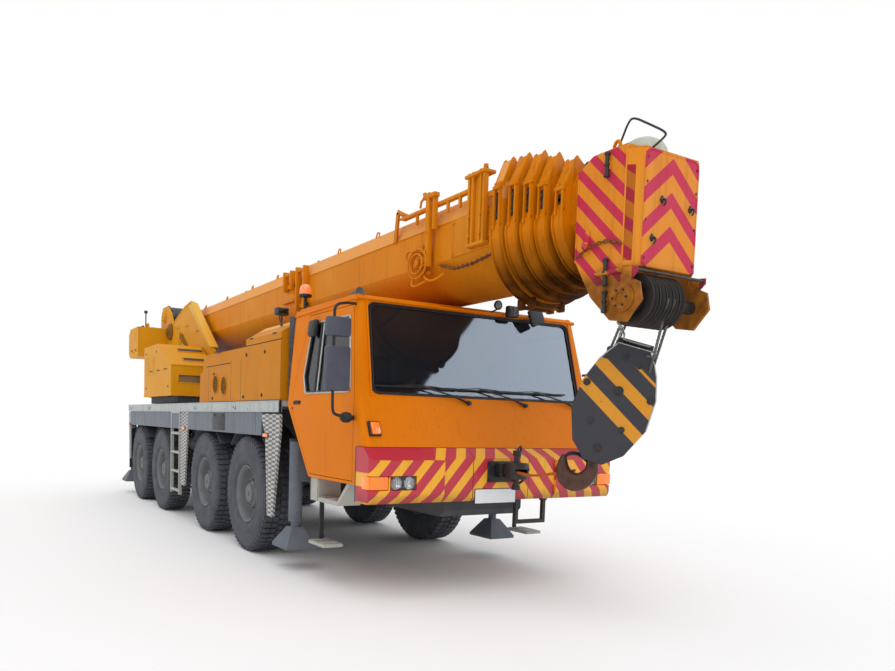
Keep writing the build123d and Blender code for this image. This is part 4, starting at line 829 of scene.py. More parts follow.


# %% [markdown]
# The rim is a deep steel dish: a flange that holds the tyre, a barrel, a disc with hand holes, and a
# hub that stands out with a ring of nuts and a smaller planetary cap. The hand holes are pushed into
# the turned disc by insetting every fourth face of one ring, as a press would punch them.

# %% rim section with its hand holes
def rim_ring():
    """One rim with hub and nuts about the Z axis, outer side up, as a bmesh."""
    work = bmesh.new()
    outline = [
        (0.317, -0.15), (0.33, -0.15), (0.334, -0.14), (0.317, -0.12), (0.298, -0.11),
        (0.298, 0.104), (0.317, 0.126), (0.334, 0.146), (0.336, 0.156), (0.33, 0.16),
        (0.316, 0.15), (0.3, 0.132), (0.29, 0.1), (0.287, 0.05), (0.272, 0.03),
        (0.262, 0.028), (0.206, 0.036), (0.196, 0.04), (0.182, 0.052), (0.15, 0.056),
        (0.146, 0.062), (0.146, 0.088), (0.138, 0.096), (0.118, 0.098), (0.112, 0.104),
        (0.108, 0.124), (0.098, 0.132), (0.03, 0.134), (0, 0.134),
    ]
    lathe(work, outline, UP, 40)
    ring = [f for f in work.faces if 0.2 < hypot(*f.calc_center_median().xy) < 0.262
            and 0.025 < f.calc_center_median().z < 0.04]
    ring.sort(key=lambda f: atan2(f.calc_center_median().y, f.calc_center_median().x))
    holes = [f for index, f in enumerate(ring) if index % 4 == 0]
    bmesh.ops.inset_individual(work, faces=holes, thickness=0.007, use_even_offset=True)
    pushed = bmesh.ops.extrude_discrete_faces(work, faces=holes)["faces"]
    bmesh.ops.translate(work, vec=(0, 0, -0.045), verts=list({v for f in pushed for v in f.verts}))
    for index in range(10):
        angle = 2 * pi * (index + 0.5) / 10
        foot = Vector((0.166 * cos(angle), 0.166 * sin(angle), 0.05))
        bar(work, foot, foot + Vector((0, 0, 0.03)), 0.0155, 6)
        bar(work, foot + Vector((0, 0, 0.028)), foot + Vector((0, 0, 0.046)), 0.0095, 10)
    for index in range(6):
        angle = 2 * pi * index / 6
        foot = Vector((0.128 * cos(angle), 0.128 * sin(angle), 0.095))
        bar(work, foot, foot + Vector((0, 0, 0.009)), 0.009, 6)
    bar(work, (0, 0, 0.13), (0, 0, 0.142), 0.026, 6)
    bar(work, (0.3, 0, 0.09), (0.312, 0.02, 0.135), 0.005, 8)
    return work


# %% eight wheels
def wheel_frame(axle_x, side, turn):
    """Place of a wheel: the lathe's up side faces out from the crane."""
    outward = Matrix.Rotation(-side * pi / 2, 4, "X")
    return Matrix.Translation((axle_x, side * WHEEL_MIDDLE_Y, HUB_HEIGHT)) @ outward @ turn


for number, axle_x in enumerate(AXLES, start=1):
    for side_name, side in SIDES.items():
        place = wheel_frame(axle_x, side, Matrix.Rotation(0.7 * number, 4, "Z"))
        body = f"wheel_{number}_{side_name}"
        for make, part, finish, slot in ((tyre_ring, "tyre", tyre_rubber, "tyre_rubber"),
                                         (rim_ring, "rim", rim_grey, "grey_paint")):
            work = make()
            bmesh.ops.transform(work, matrix=place, verts=work.verts)
            piece(work, f"{part}_{number}_{side_name}", body, finish, replaces=body)
print("eight wheels turned")

# %% [markdown]
# ## The driver's cab
# The cab leans in above its belt and its windscreen leans back. Two small functions give the place of
# a point on those faces, so that seals, handles and wipers sit on the sheet metal wherever they are.

# %% the cab's two leaning faces
CAB_HALF = 1.36
BELT = 1.68
LEAN = 0.1
SCREEN_FOOT = (4.055, 1.77)
SCREEN_HEAD = (3.86, 2.605)
CREASE = (4.24, 1.34)


def on_side(x, z, side, proud=0):
    """Point on the cab's side, a little proud of it."""
    return Vector((x, side * (CAB_HALF - LEAN * max(0, z - BELT) + proud), z))


def on_front(y, z, proud=0):
    """Point on the windscreen's plane or on the panel below it."""
    foot, head = (SCREEN_FOOT, SCREEN_HEAD) if z > SCREEN_FOOT[1] else (CREASE, SCREEN_FOOT)
    share = (z - foot[1]) / (head[1] - foot[1])
    run, rise = head[0] - foot[0], head[1] - foot[1]
    length = hypot(run, rise)
    return Vector((foot[0] + share * run + proud * rise / length, y, z - proud * run / length))


def rounded(corners, radius, steps=5):
    """Outline of (a, b) corners with each corner turned into an arc."""
    points = []
    for index, corner in enumerate(corners):
        here = Vector(corner)
        back = (Vector(corners[index - 1]) - here).normalized()
        on = (Vector(corners[(index + 1) % len(corners)]) - here).normalized()
        half = back.angle(on) / 2
        reach = radius / sin(half) * cos(half)
        centre = here + (back + on).normalized() * radius / sin(half)
        first, last = here + back * reach - centre, here + on * reach - centre
        for step in range(steps + 1):
            share = step / steps
            points.append(centre + (first * (1 - share) + last * share).normalized() * radius)
    return points


# %% [markdown]
# The windscreen sits in a thick black rubber seal with a thin bright filler strip. Both follow the
# rounded outline of the opening, so they are closed pipes laid on the screen's plane.

# %% windscreen seal
SCREEN_OUTLINE = [(1.205, 1.79), (1.165, 2.58), (-1.165, 2.58), (-1.205, 1.79)]


def closed_pipe(work, route, radius):
    """Pipe along a closed loop of points."""
    pipe(work, [*route, route[0], route[1]], radius, bent=False)


work = bmesh.new()
loop = [on_front(y, z, 0.003) for y, z in rounded(SCREEN_OUTLINE, 0.065)]
closed_pipe(work, loop, 0.008)
inner = [(y * 0.982, z + (0.012 if z < 2 else -0.012)) for y, z in SCREEN_OUTLINE]
closed_pipe(work, [on_front(y, z, -0.004) for y, z in rounded(inner, 0.06)], 0.007)
piece(work, "windscreen_seal", "carrier", seal_rubber, sharp=60)

# %% [markdown]
# Three wipers park along the bottom of the screen, all pointing to the crane's right. Each has a
# spindle cap below the glass, a spring arm that tapers, and a rubber blade held by two small yokes.

# %% wipers
WIPER_SPINDLES = (-0.2, 0.475, 1.131)
BLADE_HALF = 0.43
ARM_REACH = 0.55


def wiper(work, spindle_y):
    spindle = on_front(spindle_y, 1.735, 0.012)
    centre = on_front(spindle_y - ARM_REACH, 1.872, 0.03)
    bar(work, spindle - Vector((0.02, 0, 0)), spindle + Vector((0.022, 0, 0)), 0.024, 16, 0.017)
    knee = spindle.lerp(centre, 0.38) + Vector((0.014, 0, 0.012))
    pipe(work, [spindle, spindle.lerp(knee, 0.5) + Vector((0.014, 0, 0.004)), knee, centre], 0.0075)
    bar(work, spindle, knee, 0.013, 8, 0.007)
    low_end = on_front(spindle_y - ARM_REACH - BLADE_HALF, 1.852, 0.01)
    high_end = on_front(spindle_y - ARM_REACH + BLADE_HALF, 1.862, 0.01)
    bar(work, low_end, high_end, 0.0075, 6)
    for share in (0.16, 0.84):
        foot = low_end.lerp(high_end, share)
        pipe(work, [foot, foot.lerp(centre, 0.4) + Vector((0.012, 0, 0.004)), centre], 0.0045)


work = bmesh.new()
for spindle_y in WIPER_SPINDLES:
    wiper(work, spindle_y)
piece(work, "wipers", "carrier", seal_rubber)

# %% [markdown]
# Each door has a big window with a bright edge strip, a black divider that splits off the fixed rear
# pane, a recessed pull handle and a small dark deflector at the top of the rear pane.

# %% door trim
DOOR_WINDOW = [(3, 2.47), (2.925, 1.96), (3.005, 1.8), (3.93, 1.8), (3.775, 2.47)]
DIVIDER_X = 3.205
HANDLE_X = (2.75, 2.905)
HANDLE_Z = 1.715

for side_name, side in SIDES.items():
    door = f"cab_door_{side_name}"
    work = bmesh.new()
    window = rounded(DOOR_WINDOW, 0.045)
    closed_pipe(work, [on_side(x, z, side, 0.001) for x, z in window], 0.009)
    bar(work, on_side(DIVIDER_X + 0.045, 1.805, side, -0.006),
        on_side(DIVIDER_X + 0.045, 2.462, side, -0.006), 0.01, 8)
    piece(work, f"window_strip_{side_name}", door, galvanised, sharp=60)

    work = bmesh.new()
    gasket = rounded([(3.014, 2.458), (2.94, 1.962), (3.012, 1.812), (3.912, 1.812), (3.768, 2.458)], 0.04)
    closed_pipe(work, [on_side(x, z, side, -0.008) for x, z in gasket], 0.011)
    bar(work, on_side(DIVIDER_X, 1.805, side, -0.006), on_side(DIVIDER_X, 2.462, side, -0.006), 0.014, 8)
    for z in (1.16, 1.54):
        bar(work, (4.012, side * 1.35, z - 0.038), (4.012, side * 1.35, z + 0.038), 0.011, 10)
    handle = [(x, HANDLE_Z + rise) for x, rise in ((HANDLE_X[0], -0.014), (HANDLE_X[1], -0.014),
                                                   (HANDLE_X[1], 0.016), (HANDLE_X[0], 0.016))]
    frame_points = [on_side(x, z, side, 0.003) for x, z in rounded(handle, 0.012, 3)]
    closed_pipe(work, frame_points, 0.005)
    block(work, *sided(side, (HANDLE_X[0], 1.34, HANDLE_Z - 0.012), (HANDLE_X[1], 1.3585, HANDLE_Z + 0.014)),
          0.002)
    block(work, *sided(side, (HANDLE_X[0] + 0.02, 1.352, HANDLE_Z + 0.002),
                       (HANDLE_X[1] - 0.012, 1.366, HANDLE_Z + 0.012)), 0.005)
    bar(work, on_side(2.722, 1.66, side, -0.004), on_side(2.722, 1.66, side, 0.005), 0.011, 12)
    piece(work, f"door_trim_{side_name}", door, seal_rubber)

    work = bmesh.new()
    turn = Matrix.Translation(on_side(3.075, 2.425, side, 0.03)) @ Matrix.Rotation(radians(-6), 4, "X")
    block(work, (-0.075, -0.03, -0.085), (0.085, 0.03, 0.075), 0.028, turn)
    piece(work, f"wind_deflector_{side_name}", door, black_plastic, sharp=45)

# %% [markdown]
# The mirrors hang on one bent tube per side. Their housings are moulded shells, so the blocks get a
# wide soft edge, and each glass stands a few millimetres proud of its rear face.

# %% mirrors
MIRROR_HEADS = ((1.48, 1.702, 1.79, 2.15), (1.48, 1.7, 2.225, 2.385))

for side_name, side in SIDES.items():
    shells, faces, arms = bmesh.new(), bmesh.new(), bmesh.new()
    for inner, outer, bottom, top in MIRROR_HEADS:
        block(shells, *sided(side, (4.118, inner, bottom), (4.189, outer, top)), 0.024)
        block(faces, *sided(side, (4.1105, inner + 0.016, bottom + 0.016),
                            (4.12, outer - 0.016, top - 0.016)), 0.003)
    tube = [(4.15, 1.625, 2.4), (4.15, 1.625, 2), (4.15, 1.625, 1.72), (4.15, 1.622, 1.62),
            (4.13, 1.58, 1.592), (4.11, 1.5, 1.586)]
    upper = [(3.84, 1.272, 2.56), (4.02, 1.46, 2.53), (4.145, 1.618, 2.48)]
    if side > 0:
        upper = [(3.955, 1.325, 2.08), (4.05, 1.46, 2.09), (4.145, 1.6, 2.185)]
    pipe(arms, [(x, side * y, z) for x, y, z in upper + tube], 0.0125)
    for z in (1.86, 2.08, 2.27, 2.35):
        bar(arms, (4.15, side * 1.625, z - 0.012), (4.15, side * 1.625, z + 0.012), 0.022, 12)
    bar(arms, (4.02, side * 1.352, 1.575), (4.03, side * 1.43, 1.576), 0.02, 14)
    lathe(arms, [(0, -0.058), (0.03, -0.048), (0.044, -0.022), (0.046, 0.01), (0.034, 0.04), (0, 0.054)],
          spun_at((4.06, side * 1.45, 1.578)), 24)
    piece(shells, f"mirror_shells_{side_name}", "carrier", mirror_plastic,
          replaces="mirrors")
    piece(faces, f"mirror_faces_{side_name}", "carrier", mirror_face, replaces="mirrors")
    piece(arms, f"mirror_tubes_{side_name}", "carrier", seal_rubber, replaces="mirrors")

# %% [markdown]
# The roof has a folded rain gutter along its front and sides. At its front edge stand a round lamp,
# a square one and a small mirror that shows the ground ahead, and on the right a horn.

# %% roof edge
work = bmesh.new()
for side in SIDES.values():
    route = [on_side(x, z, side, proud) for x, z, proud in
             ((2.565, 2.585, 0.004), (3.79, 2.612, 0.004), (3.862, 2.603, 0))]
    pipe(work, route, 0.011, bent=False)
    block(work, *sided(side, (2.6, 1.215, 2.632), (3.82, 1.25, 2.655)), 0.008)
pipe(work, [on_front(y, 2.612, 0.006) for y in (-1.262, 1.262)], 0.012, bent=False)
block(work, (2.95, -0.36, 2.64), (3.45, 0.36, 2.682), 0.018)
for side in SIDES.values():
    low = on_front(side * 1.215, 1.765, 0.006)
    high = on_front(side * 1.178, 2.6, 0.006)
    bar(work, low, high, 0.009, 8)
piece(work, "roof_gutter", "carrier", cab_orange, sharp=50)

work = bmesh.new()
for y, x, z in ((0.21, 3.935, 2.68), (0.395, 3.935, 2.66), (0.67, 3.95, 2.69)):
    bar(work, (3.83, y, 2.63), (x, y, z - 0.03), 0.008, 8)
lathe(work, [(0, -0.022), (0.036, -0.018), (0.046, 0), (0.046, 0.012), (0.038, 0.018), (0, 0.018)],
      spun_at((3.935, 0.21, 2.685), ALONG_X), 20)
block(work, (3.9, 0.325, 2.585), (3.955, 0.465, 2.695), 0.016)
turn = Matrix.Translation((3.96, 0.67, 2.618)) @ Matrix.Rotation(radians(24), 4, "X")
block(work, (-0.02, -0.085, -0.085), (0.02, 0.085, 0.085), 0.022, turn)
piece(work, "roof_lamps_and_mirror", "carrier", black_plastic)

work = bmesh.new()
lathe(work, [(0, 0), (0.034, 0), (0.034, 0.004), (0, 0.008)], spun_at((3.953, 0.21, 2.685), ALONG_X), 20)
block(work, (3.954, 0.34, 2.6), (3.958, 0.45, 2.68), 0.001)
piece(work, "roof_lamp_glass", "carrier", lamp_glass)

work = bmesh.new()
lathe(work, [(0, -0.11), (0.022, -0.108), (0.026, -0.07), (0.014, -0.06), (0.016, -0.02), (0.026, 0.012),
             (0.044, 0.03), (0.04, 0.03), (0.02, 0.01), (0, 0.004)],
      spun_at((3.79, -1.22, 2.668), ALONG_X), 28)
bar(work, (3.725, -1.22, 2.61), (3.725, -1.22, 2.66), 0.012, 10)
piece(work, "roof_horn", "carrier", rim_grey)

# %% [markdown]
# ## Lamps and bumper fittings
# A headlamp is a clear ribbed glass over two bright bowls, and the corner lamp is a ribbed amber
# lens that wraps the bumper's end. The bowls are turned, mouth forward, and sit in the same pocket.

# %% front lamps
LAMP_BOTTOM, LAMP_TOP = 0.99, 1.1
bowls, clears, ambers, pockets = bmesh.new(), bmesh.new(), bmesh.new(), bmesh.new()
for side in SIDES.values():
    for bowl_y in (0.992, 1.118):
        lathe(bowls, [(0, 0), (0.02, 0.002), (0.038, 0.014), (0.05, 0.034), (0.052, 0.036)],
              spun_at((4.314, side * bowl_y, 1.045), ALONG_X), 28)
        bar(bowls, (4.316, side * bowl_y, 1.045), (4.336, side * bowl_y, 1.045), 0.009, 10)
    block(pockets, *sided(side, (4.306, 0.927, 0.987), (4.314, 1.183, 1.103)), 0.001)
    block(pockets, *sided(side, (4.314, 1.05, 0.99), (4.34, 1.058, 1.1)), 0.001)
    block(pockets, *sided(side, (4.306, 1.197, 0.987), (4.318, 1.362, 1.103)), 0.001)
    block(clears, *sided(side, (4.354, 0.93, LAMP_BOTTOM), (4.36, 1.18, LAMP_TOP)), 0.002)
    block(ambers, *sided(side, (4.318, 1.199, LAMP_BOTTOM), (4.362, 1.369, LAMP_TOP)), 0.014)
    block(ambers, *sided(side, (4.225, 1.34, LAMP_BOTTOM), (4.352, 1.381, LAMP_TOP)), 0.012)
    low = on_front(side * 1.244, 1.485, 0.018)
    turn = Matrix.Translation(low) @ Matrix.Rotation(radians(-23), 4, "Y")
    block(ambers, (-0.012, -0.041, -0.052), (0.018, 0.041, 0.052), 0.008, turn)
    block(pockets, (-0.022, -0.058, -0.064), (0.004, 0.054, 0.064), 0.006, turn)
    block(pockets, (-0.022, side * 0.052 - 0.008, -0.064), (0.012, side * 0.052 + 0.008, 0.064), 0.004, turn)
piece(bowls, "lamp_bowls", "carrier", reflector, replaces="lamps")
piece(clears, "headlamp_glass", "carrier", lamp_glass, replaces="lamps")
piece(ambers, "corner_lamps", "carrier", amber_lens, replaces="lamps")
piece(pockets, "lamp_pockets", "carrier", black_plastic, replaces="lamps")

# %% tail lamps and beacon
reds, base = bmesh.new(), bmesh.new()
ambers = bmesh.new()
for side in SIDES.values():
    block(base, *sided(side, (-5.345, 0.9, 1.62), (-5.325, 1.25, 1.73)), 0.004)
    block(reds, *sided(side, (-5.365, 0.905, 1.625), (-5.344, 1.12, 1.725)), 0.006)
    block(ambers, *sided(side, (-5.365, 1.128, 1.625), (-5.344, 1.245, 1.725)), 0.006)
BEACON = (2.62, -1.2)
bar(base, (*BEACON, 2.632), (*BEACON, 2.79), 0.017, 12)
lathe(base, [(0, 0.735), (0.06, 0.735), (0.066, 0.742), (0.066, 0.756), (0.058, 0.762), (0, 0.762)],
      spun_at((*BEACON, 2.05), UP), 28)
dome = bmesh.new()
lathe(dome, [(0.058, 0.76), (0.06, 0.785), (0.056, 0.822), (0.046, 0.845), (0.028, 0.858), (0, 0.862)],
      spun_at((*BEACON, 2.05), UP), 28)
lathe(dome, [(0.04, 0.762), (0.04, 0.8), (0.03, 0.82), (0, 0.822)], spun_at((*BEACON, 2.05), UP), 20)
piece(reds, "tail_lamps_red", "carrier", red_lens, replaces="lamps")
piece(ambers, "tail_lamps_amber", "carrier", amber_lens, replaces="lamps")
piece(base, "beacon_stem", "carrier", black_plastic, replaces="lamps")
piece(dome, "beacon_dome", "carrier", beacon_lens, replaces="lamps")

# %% [markdown]
# The middle of the bumper carries a blank plate, the towing jaw with its lever and hoses, and the
# stirrup step. The plate stays bare: the crane wears no number.

# %% bumper fittings
work = bmesh.new()
block(work, (4.341, -0.292, 0.85), (4.347, 0.164, 0.974), 0.003)
piece(work, "blank_number_plate", "carrier", blank_plate)

work = bmesh.new()
block(work, (4.339, -0.3, 0.843), (4.3435, 0.172, 0.981), 0.002)
block(work, (4.34, -0.165, 1.035), (4.35, 0.15, 1.225), 0.004)
for y in (-0.145, 0.13):
    for z in (1.055, 1.205):
        bar(work, (4.348, y, z), (4.362, y, z), 0.012, 6)
block(work, (4.35, -0.085, 1.08), (4.44, 0.085, 1.21), 0.012)
bar(work, (4.54, 0, 0.985), (4.54, 0, 1.03), 0.04, 16, 0.034)
bar(work, (4.54, 0, 1.285), (4.54, 0, 1.33), 0.036, 16)
pipe(work, [(4.54, 0, 1.32), (4.53, 0.03, 1.36), (4.5, 0.08, 1.37), (4.45, 0.12, 1.33), (4.42, 0.13, 1.24)],
     0.009)
block(work, (4.455, 0.07, 1.105), (4.585, 0.1, 1.215), 0.01)
bar(work, (4.52, 0.085, 1.16), (4.52, 0.15, 1.16), 0.022, 14)
pipe(work, [(4.36, 0.14, 1.19), (4.45, 0.17, 1.15), (4.47, 0.16, 1.05), (4.38, 0.15, 1.02)], 0.011)
for leg_y in (0.21, 0.54):
    block(work, (4.262, leg_y - 0.012, 0.85), (4.312, leg_y + 0.047, 0.88), 0.005)
piece(work, "towing_fittings", "carrier", black_plastic)
print("cab finished")

# %% [markdown]
# ## The carrier's sides and underside
# Along each side runs a pale edge strip with a grey skirt below it. They carry lockers, marker lamps
# and ladders. All of it is folded sheet and small brackets, so short loops of blocks place them.

# %% markers, locker and edge strip
work, ambers = bmesh.new(), bmesh.new()
for side in SIDES.values():
    for x in (2.03, -1.29, -5.245):
        block(work, *sided(side, (x - 0.075, 1.364, 1.345), (x + 0.075, 1.372, 1.392)), 0.003)
        block(ambers, *sided(side, (x - 0.062, 1.371, 1.352), (x + 0.062, 1.384, 1.386)), 0.004)
    block(work, *sided(side, (0.1, 1.3635, 1.385), (0.61, 1.3675, 1.6)), 0.001)
    for x in (0.185, 0.525):
        block(work, *sided(side, (x - 0.02, 1.367, 1.56), (x + 0.02, 1.373, 1.592)), 0.002)
    block(work, *sided(side, (2.395, 1.352, 1.605), (2.4185, 1.3775, 1.745)), 0.002)
    for x in (1.7, 0.95, -0.72, -2.25, -3.2, -3.95, -4.75):
        block(work, *sided(side, (x - 0.0035, 1.364, 1.375), (x + 0.0035, 1.3662, 1.618)), 0.0005)
piece(work, "skirt_fittings", "carrier", black_plastic)
piece(ambers, "side_markers", "carrier", amber_lens)

work = bmesh.new()
for side in SIDES.values():
    block(work, *sided(side, (-5.32, 1.372, 1.728), (2.412, 1.378, 1.742)), 0.002)
    block(work, *sided(side, (-5.32, 1.372, 1.617), (2.394, 1.378, 1.629)), 0.002)
    for number in range(19):
        x = -5.18 + number * 0.415
        bar(work, (x, side * 1.374, 1.655), (x, side * 1.38, 1.655), 0.008, 6)
    for x in (-5.05, -3.55, -0.7, 1):
        pipe(work, [(x - 0.05, side * 1.376, 1.7), (x - 0.05, side * 1.384, 1.668), (x, side * 1.386, 1.652),
                    (x + 0.05, side * 1.384, 1.668), (x + 0.05, side * 1.376, 1.7)], 0.006)
piece(work, "deck_edge_strip", "carrier", galvanised)

# %% mudguards over the wheels
work = bmesh.new()
for side in SIDES.values():
    for axle_x, reach in zip(AXLES, (0.815, 0.815, 0.735, 0.735)):
        angles = [radians(turn) for turn in range(-48, 49, 12)]
        arc = [(axle_x + reach * sin(a), HUB_HEIGHT + reach * cos(a)) for a in angles]
        for (x, z), (next_x, next_z) in zip(arc, arc[1:]):
            sheet(work, [(x, side * 0.95, z), (next_x, side * 0.95, next_z), (next_x, side * 1.338, next_z),
                         (x, side * 1.338, z)], (0, 0, 0.012), 0.002)
piece(work, "mudguards", "carrier", shaded_under_grey)

# %% ladder heads
work = bmesh.new()
for side in SIDES.values():
    for x in (-2.02, -1.54):
        block(work, *sided(side, (x - 0.016, 1.362, 1.362), (x + 0.016, 1.374, 1.64)), 0.004)
    block(work, *sided(side, (-2.02, 1.362, 1.59), (-1.54, 1.3755, 1.618)), 0.004)
piece(work, "ladder_heads", "carrier", galvanised)

# %% [markdown]
# Boots need grip, so each rung and step gets a punched tread: a plate with rows of raised teeth. The
# low step also hangs on two short round bars.

# %% step treads
work = bmesh.new()
TREADS = [((-1.985, 1.335), (-1.575, 1.372), 0.43 + 0.29 * rung) for rung in range(4)]
TREADS += [((3.345, 1.125), (3.705, 1.33), 0.83), ((3.125, 1.14), (3.43, 1.322), 0.395)]
for side in SIDES.values():
    for (low_x, low_y), (high_x, high_y), z in TREADS:
        block(work, *sided(side, (low_x, low_y, z), (high_x, high_y, z + 0.004)), 0.001)
        across = max(1, round((high_y - low_y) / 0.03))
        for row in range(across):
            y = low_y + (row + 0.5) * (high_y - low_y) / across
            for number in range(int((high_x - low_x) / 0.028)):
                x = low_x + 0.014 + number * 0.028
                bar(work, (x, side * y, z + 0.003), (x, side * y, z + 0.0095), 0.0085, 6, 0.005)
    for x in (3.16, 3.32):
        bar(work, (x, side * 1.338, 0.8), (x, side * 1.338, 0.998), 0.009, 8)
piece(work, "step_treads", "carrier", tread_plate)

# %% [markdown]
# Under the deck hang the fuel tank, the air tanks and the batteries, and down the middle run the
# propeller shafts from axle to axle. A shaft is a thin tube with a flange and a forked joint at each
# end, so one function turns them all.

# %% tanks and batteries
work, straps = bmesh.new(), bmesh.new()
block(work, (-2.02, 0.62, 0.68), (-1.16, 1.28, 1.26), 0.06)
for z, y in ((1.13, -0.78), (1.13, -1.02), (0.86, -0.9)):
    lathe(work, [(0, -0.44), (0.06, -0.435), (0.1, -0.41), (0.115, -0.37), (0.115, 0.37), (0.1, 0.41),
                 (0.06, 0.435), (0, 0.44)], spun_at((-1.5, y, z), ALONG_X), 28)
for x in (-1.84, -1.5):
    block(straps, (x - 0.02, 0.612, 0.672), (x + 0.02, 1.288, 1.268), 0.05)
for x in (-1.78, -1.22):
    for z, y in ((1.13, -0.78), (1.13, -1.02), (0.86, -0.9)):
        bar(straps, (x - 0.015, y, z), (x + 0.015, y, z), 0.119, 28)
    block(straps, (x - 0.03, -1.12, 1.245), (x + 0.03, -0.46, 1.285), 0.004)
    bar(straps, (x, -0.9, 0.94), (x, -0.9, 1.26), 0.012, 8)
    block(straps, (x - 0.03, 0.45, 1.262), (x + 0.03, 1.28, 1.3), 0.004)
lathe(straps, [(0, 0.06), (0.045, 0.06), (0.055, 0.045), (0.055, 0), (0, 0)],
      spun_at((-1.32, 1.17, 1.255), UP), 20)
block(straps, (-2.05, -1.2, 0.74), (-2.02, -0.5, 1.25), 0.004)
piece(work, "tanks", "carrier", shaded_under_grey)
piece(straps, "tank_straps", "carrier", dark_steel)

# %% propeller shafts
def propeller_shaft(work, start, end):
    """Tube with a flange and a fork at both ends."""
    start, end = Vector(start), Vector(end)
    way = (end - start).normalized()
    bar(work, start + way * 0.1, end - way * 0.1, 0.045, 20)
    for place, inward in ((start, way), (end, -way)):
        bar(work, place, place + inward * 0.025, 0.085, 20)
        bar(work, place + inward * 0.025, place + inward * 0.12, 0.06, 12, 0.048)
        for turn in range(6):
            across = inward.cross(Vector((0, 1, 0))).normalized() * cos(turn * pi / 3) * 0.068
            spot = place + inward * 0.024 + across + Vector((0, sin(turn * pi / 3) * 0.068, 0))
            bar(work, spot, spot + inward * 0.012, 0.01, 6)


work = bmesh.new()
propeller_shaft(work, (1.175, 0, HUB_HEIGHT), (-0.075, 0, HUB_HEIGHT))
propeller_shaft(work, (-0.475, 0, HUB_HEIGHT), (-1.28, 0, 0.79))
propeller_shaft(work, (-1.72, 0, 0.79), (-2.515, 0, HUB_HEIGHT))
propeller_shaft(work, (-2.915, 0, HUB_HEIGHT), (-4.165, 0, HUB_HEIGHT))
propeller_shaft(work, (1.575, 0, HUB_HEIGHT), (2.3, 0, 0.84))
block(work, (-1.72, -0.22, 0.62), (-1.28, 0.22, 0.878), 0.05)
block(work, (-1.66, -0.16, 0.58), (-1.34, 0.16, 0.64), 0.02)
piece(work, "propeller_shafts", "carrier", shaded_under_grey)

# %% [markdown]
# Each jack stands in a square post with a ring of bolts on top. Mud flaps of ribbed rubber hang
# behind the last axle, and a bolted plate with a towing eye closes the rear.

# %% jacks, flaps and rear end
work, plates = bmesh.new(), bmesh.new()
for station_x in (2.5425, -5.5925):
    for side in SIDES.values():
        top = (station_x, side * 1.235, 1.322)
        bar(work, top, (top[0], top[1], 1.345), 0.072, 24)
        for turn in range(6):
            spot = (top[0] + cos(turn * pi / 3) * 0.052, top[1] + sin(turn * pi / 3) * 0.052, 1.343)
            bar(work, spot, (spot[0], spot[1], 1.356), 0.01, 6)
for side in SIDES.values():
    block(work, *sided(side, (-5.285, 1, 0.52), (-5.272, 1.362, 1.28)), 0.004)
    for number in range(9):
        y = side * (1.03 + number * 0.038)
        block(work, (-5.291, y - 0.007, 0.53), (-5.284, y + 0.007, 1.26), 0.002)
    block(plates, *sided(side, (-5.33, 0.46, 1.6), (-5.322, 1.34, 1.745)), 0.002)
for y in (-0.2, 0.2):
    bar(work, (-5.722, y, 1.35), (-5.742, y, 1.35), 0.02, 6)
    bar(work, (-5.722, y, 1.2), (-5.742, y, 1.2), 0.02, 6)
block(work, (-5.732, -0.26, 1.14), (-5.72, 0.26, 1.41), 0.004)
pipe(work, [(-5.73, -0.07, 1.3), (-5.83, -0.07, 1.3), (-5.86, 0, 1.3), (-5.83, 0.07, 1.3),
            (-5.73, 0.07, 1.3)], 0.022)
piece(work, "rear_fittings", "carrier", black_plastic)
piece(plates, "rear_lamp_panel", "carrier", chassis_grey)

# %% slewing ring: gear teeth and bolts
work, bolts = bmesh.new(), bmesh.new()
SLEW_X = -3.125
for number in range(108):
    angle = number * 2 * pi / 108
    turn = Matrix.Translation((SLEW_X, 0, 1.8)) @ Matrix.Rotation(angle, 4, "Z")
    block(work, (0.716, -0.011, -0.04), (0.742, 0.011, 0.05), 0.004, turn)
for number in range(48):
    angle = number * 2 * pi / 48
    spot = Vector((SLEW_X + 0.8 * cos(angle), 0.8 * sin(angle), 1.74))
    bar(bolts, spot, spot + Vector((0, 0, 0.02)), 0.016, 6)
lathe(bolts, [(0.755, 0), (0.84, 0), (0.84, 0.006), (0.755, 0.006)], spun_at((SLEW_X, 0, 1.7405), UP), 64)
piece(work, "slew_ring_teeth", "carrier", greasy_steel)
piece(bolts, "slew_ring_bolts", "carrier", dark_steel)
print("carrier finished")

# %% [markdown]
# ## The engine hood
# The hood is a long sheet box whose doors show as thin gaps. The gaps are painted in its finish. What
# stands proud is modelled: latches, handles, louvres on top, the round air ports and a lamp.

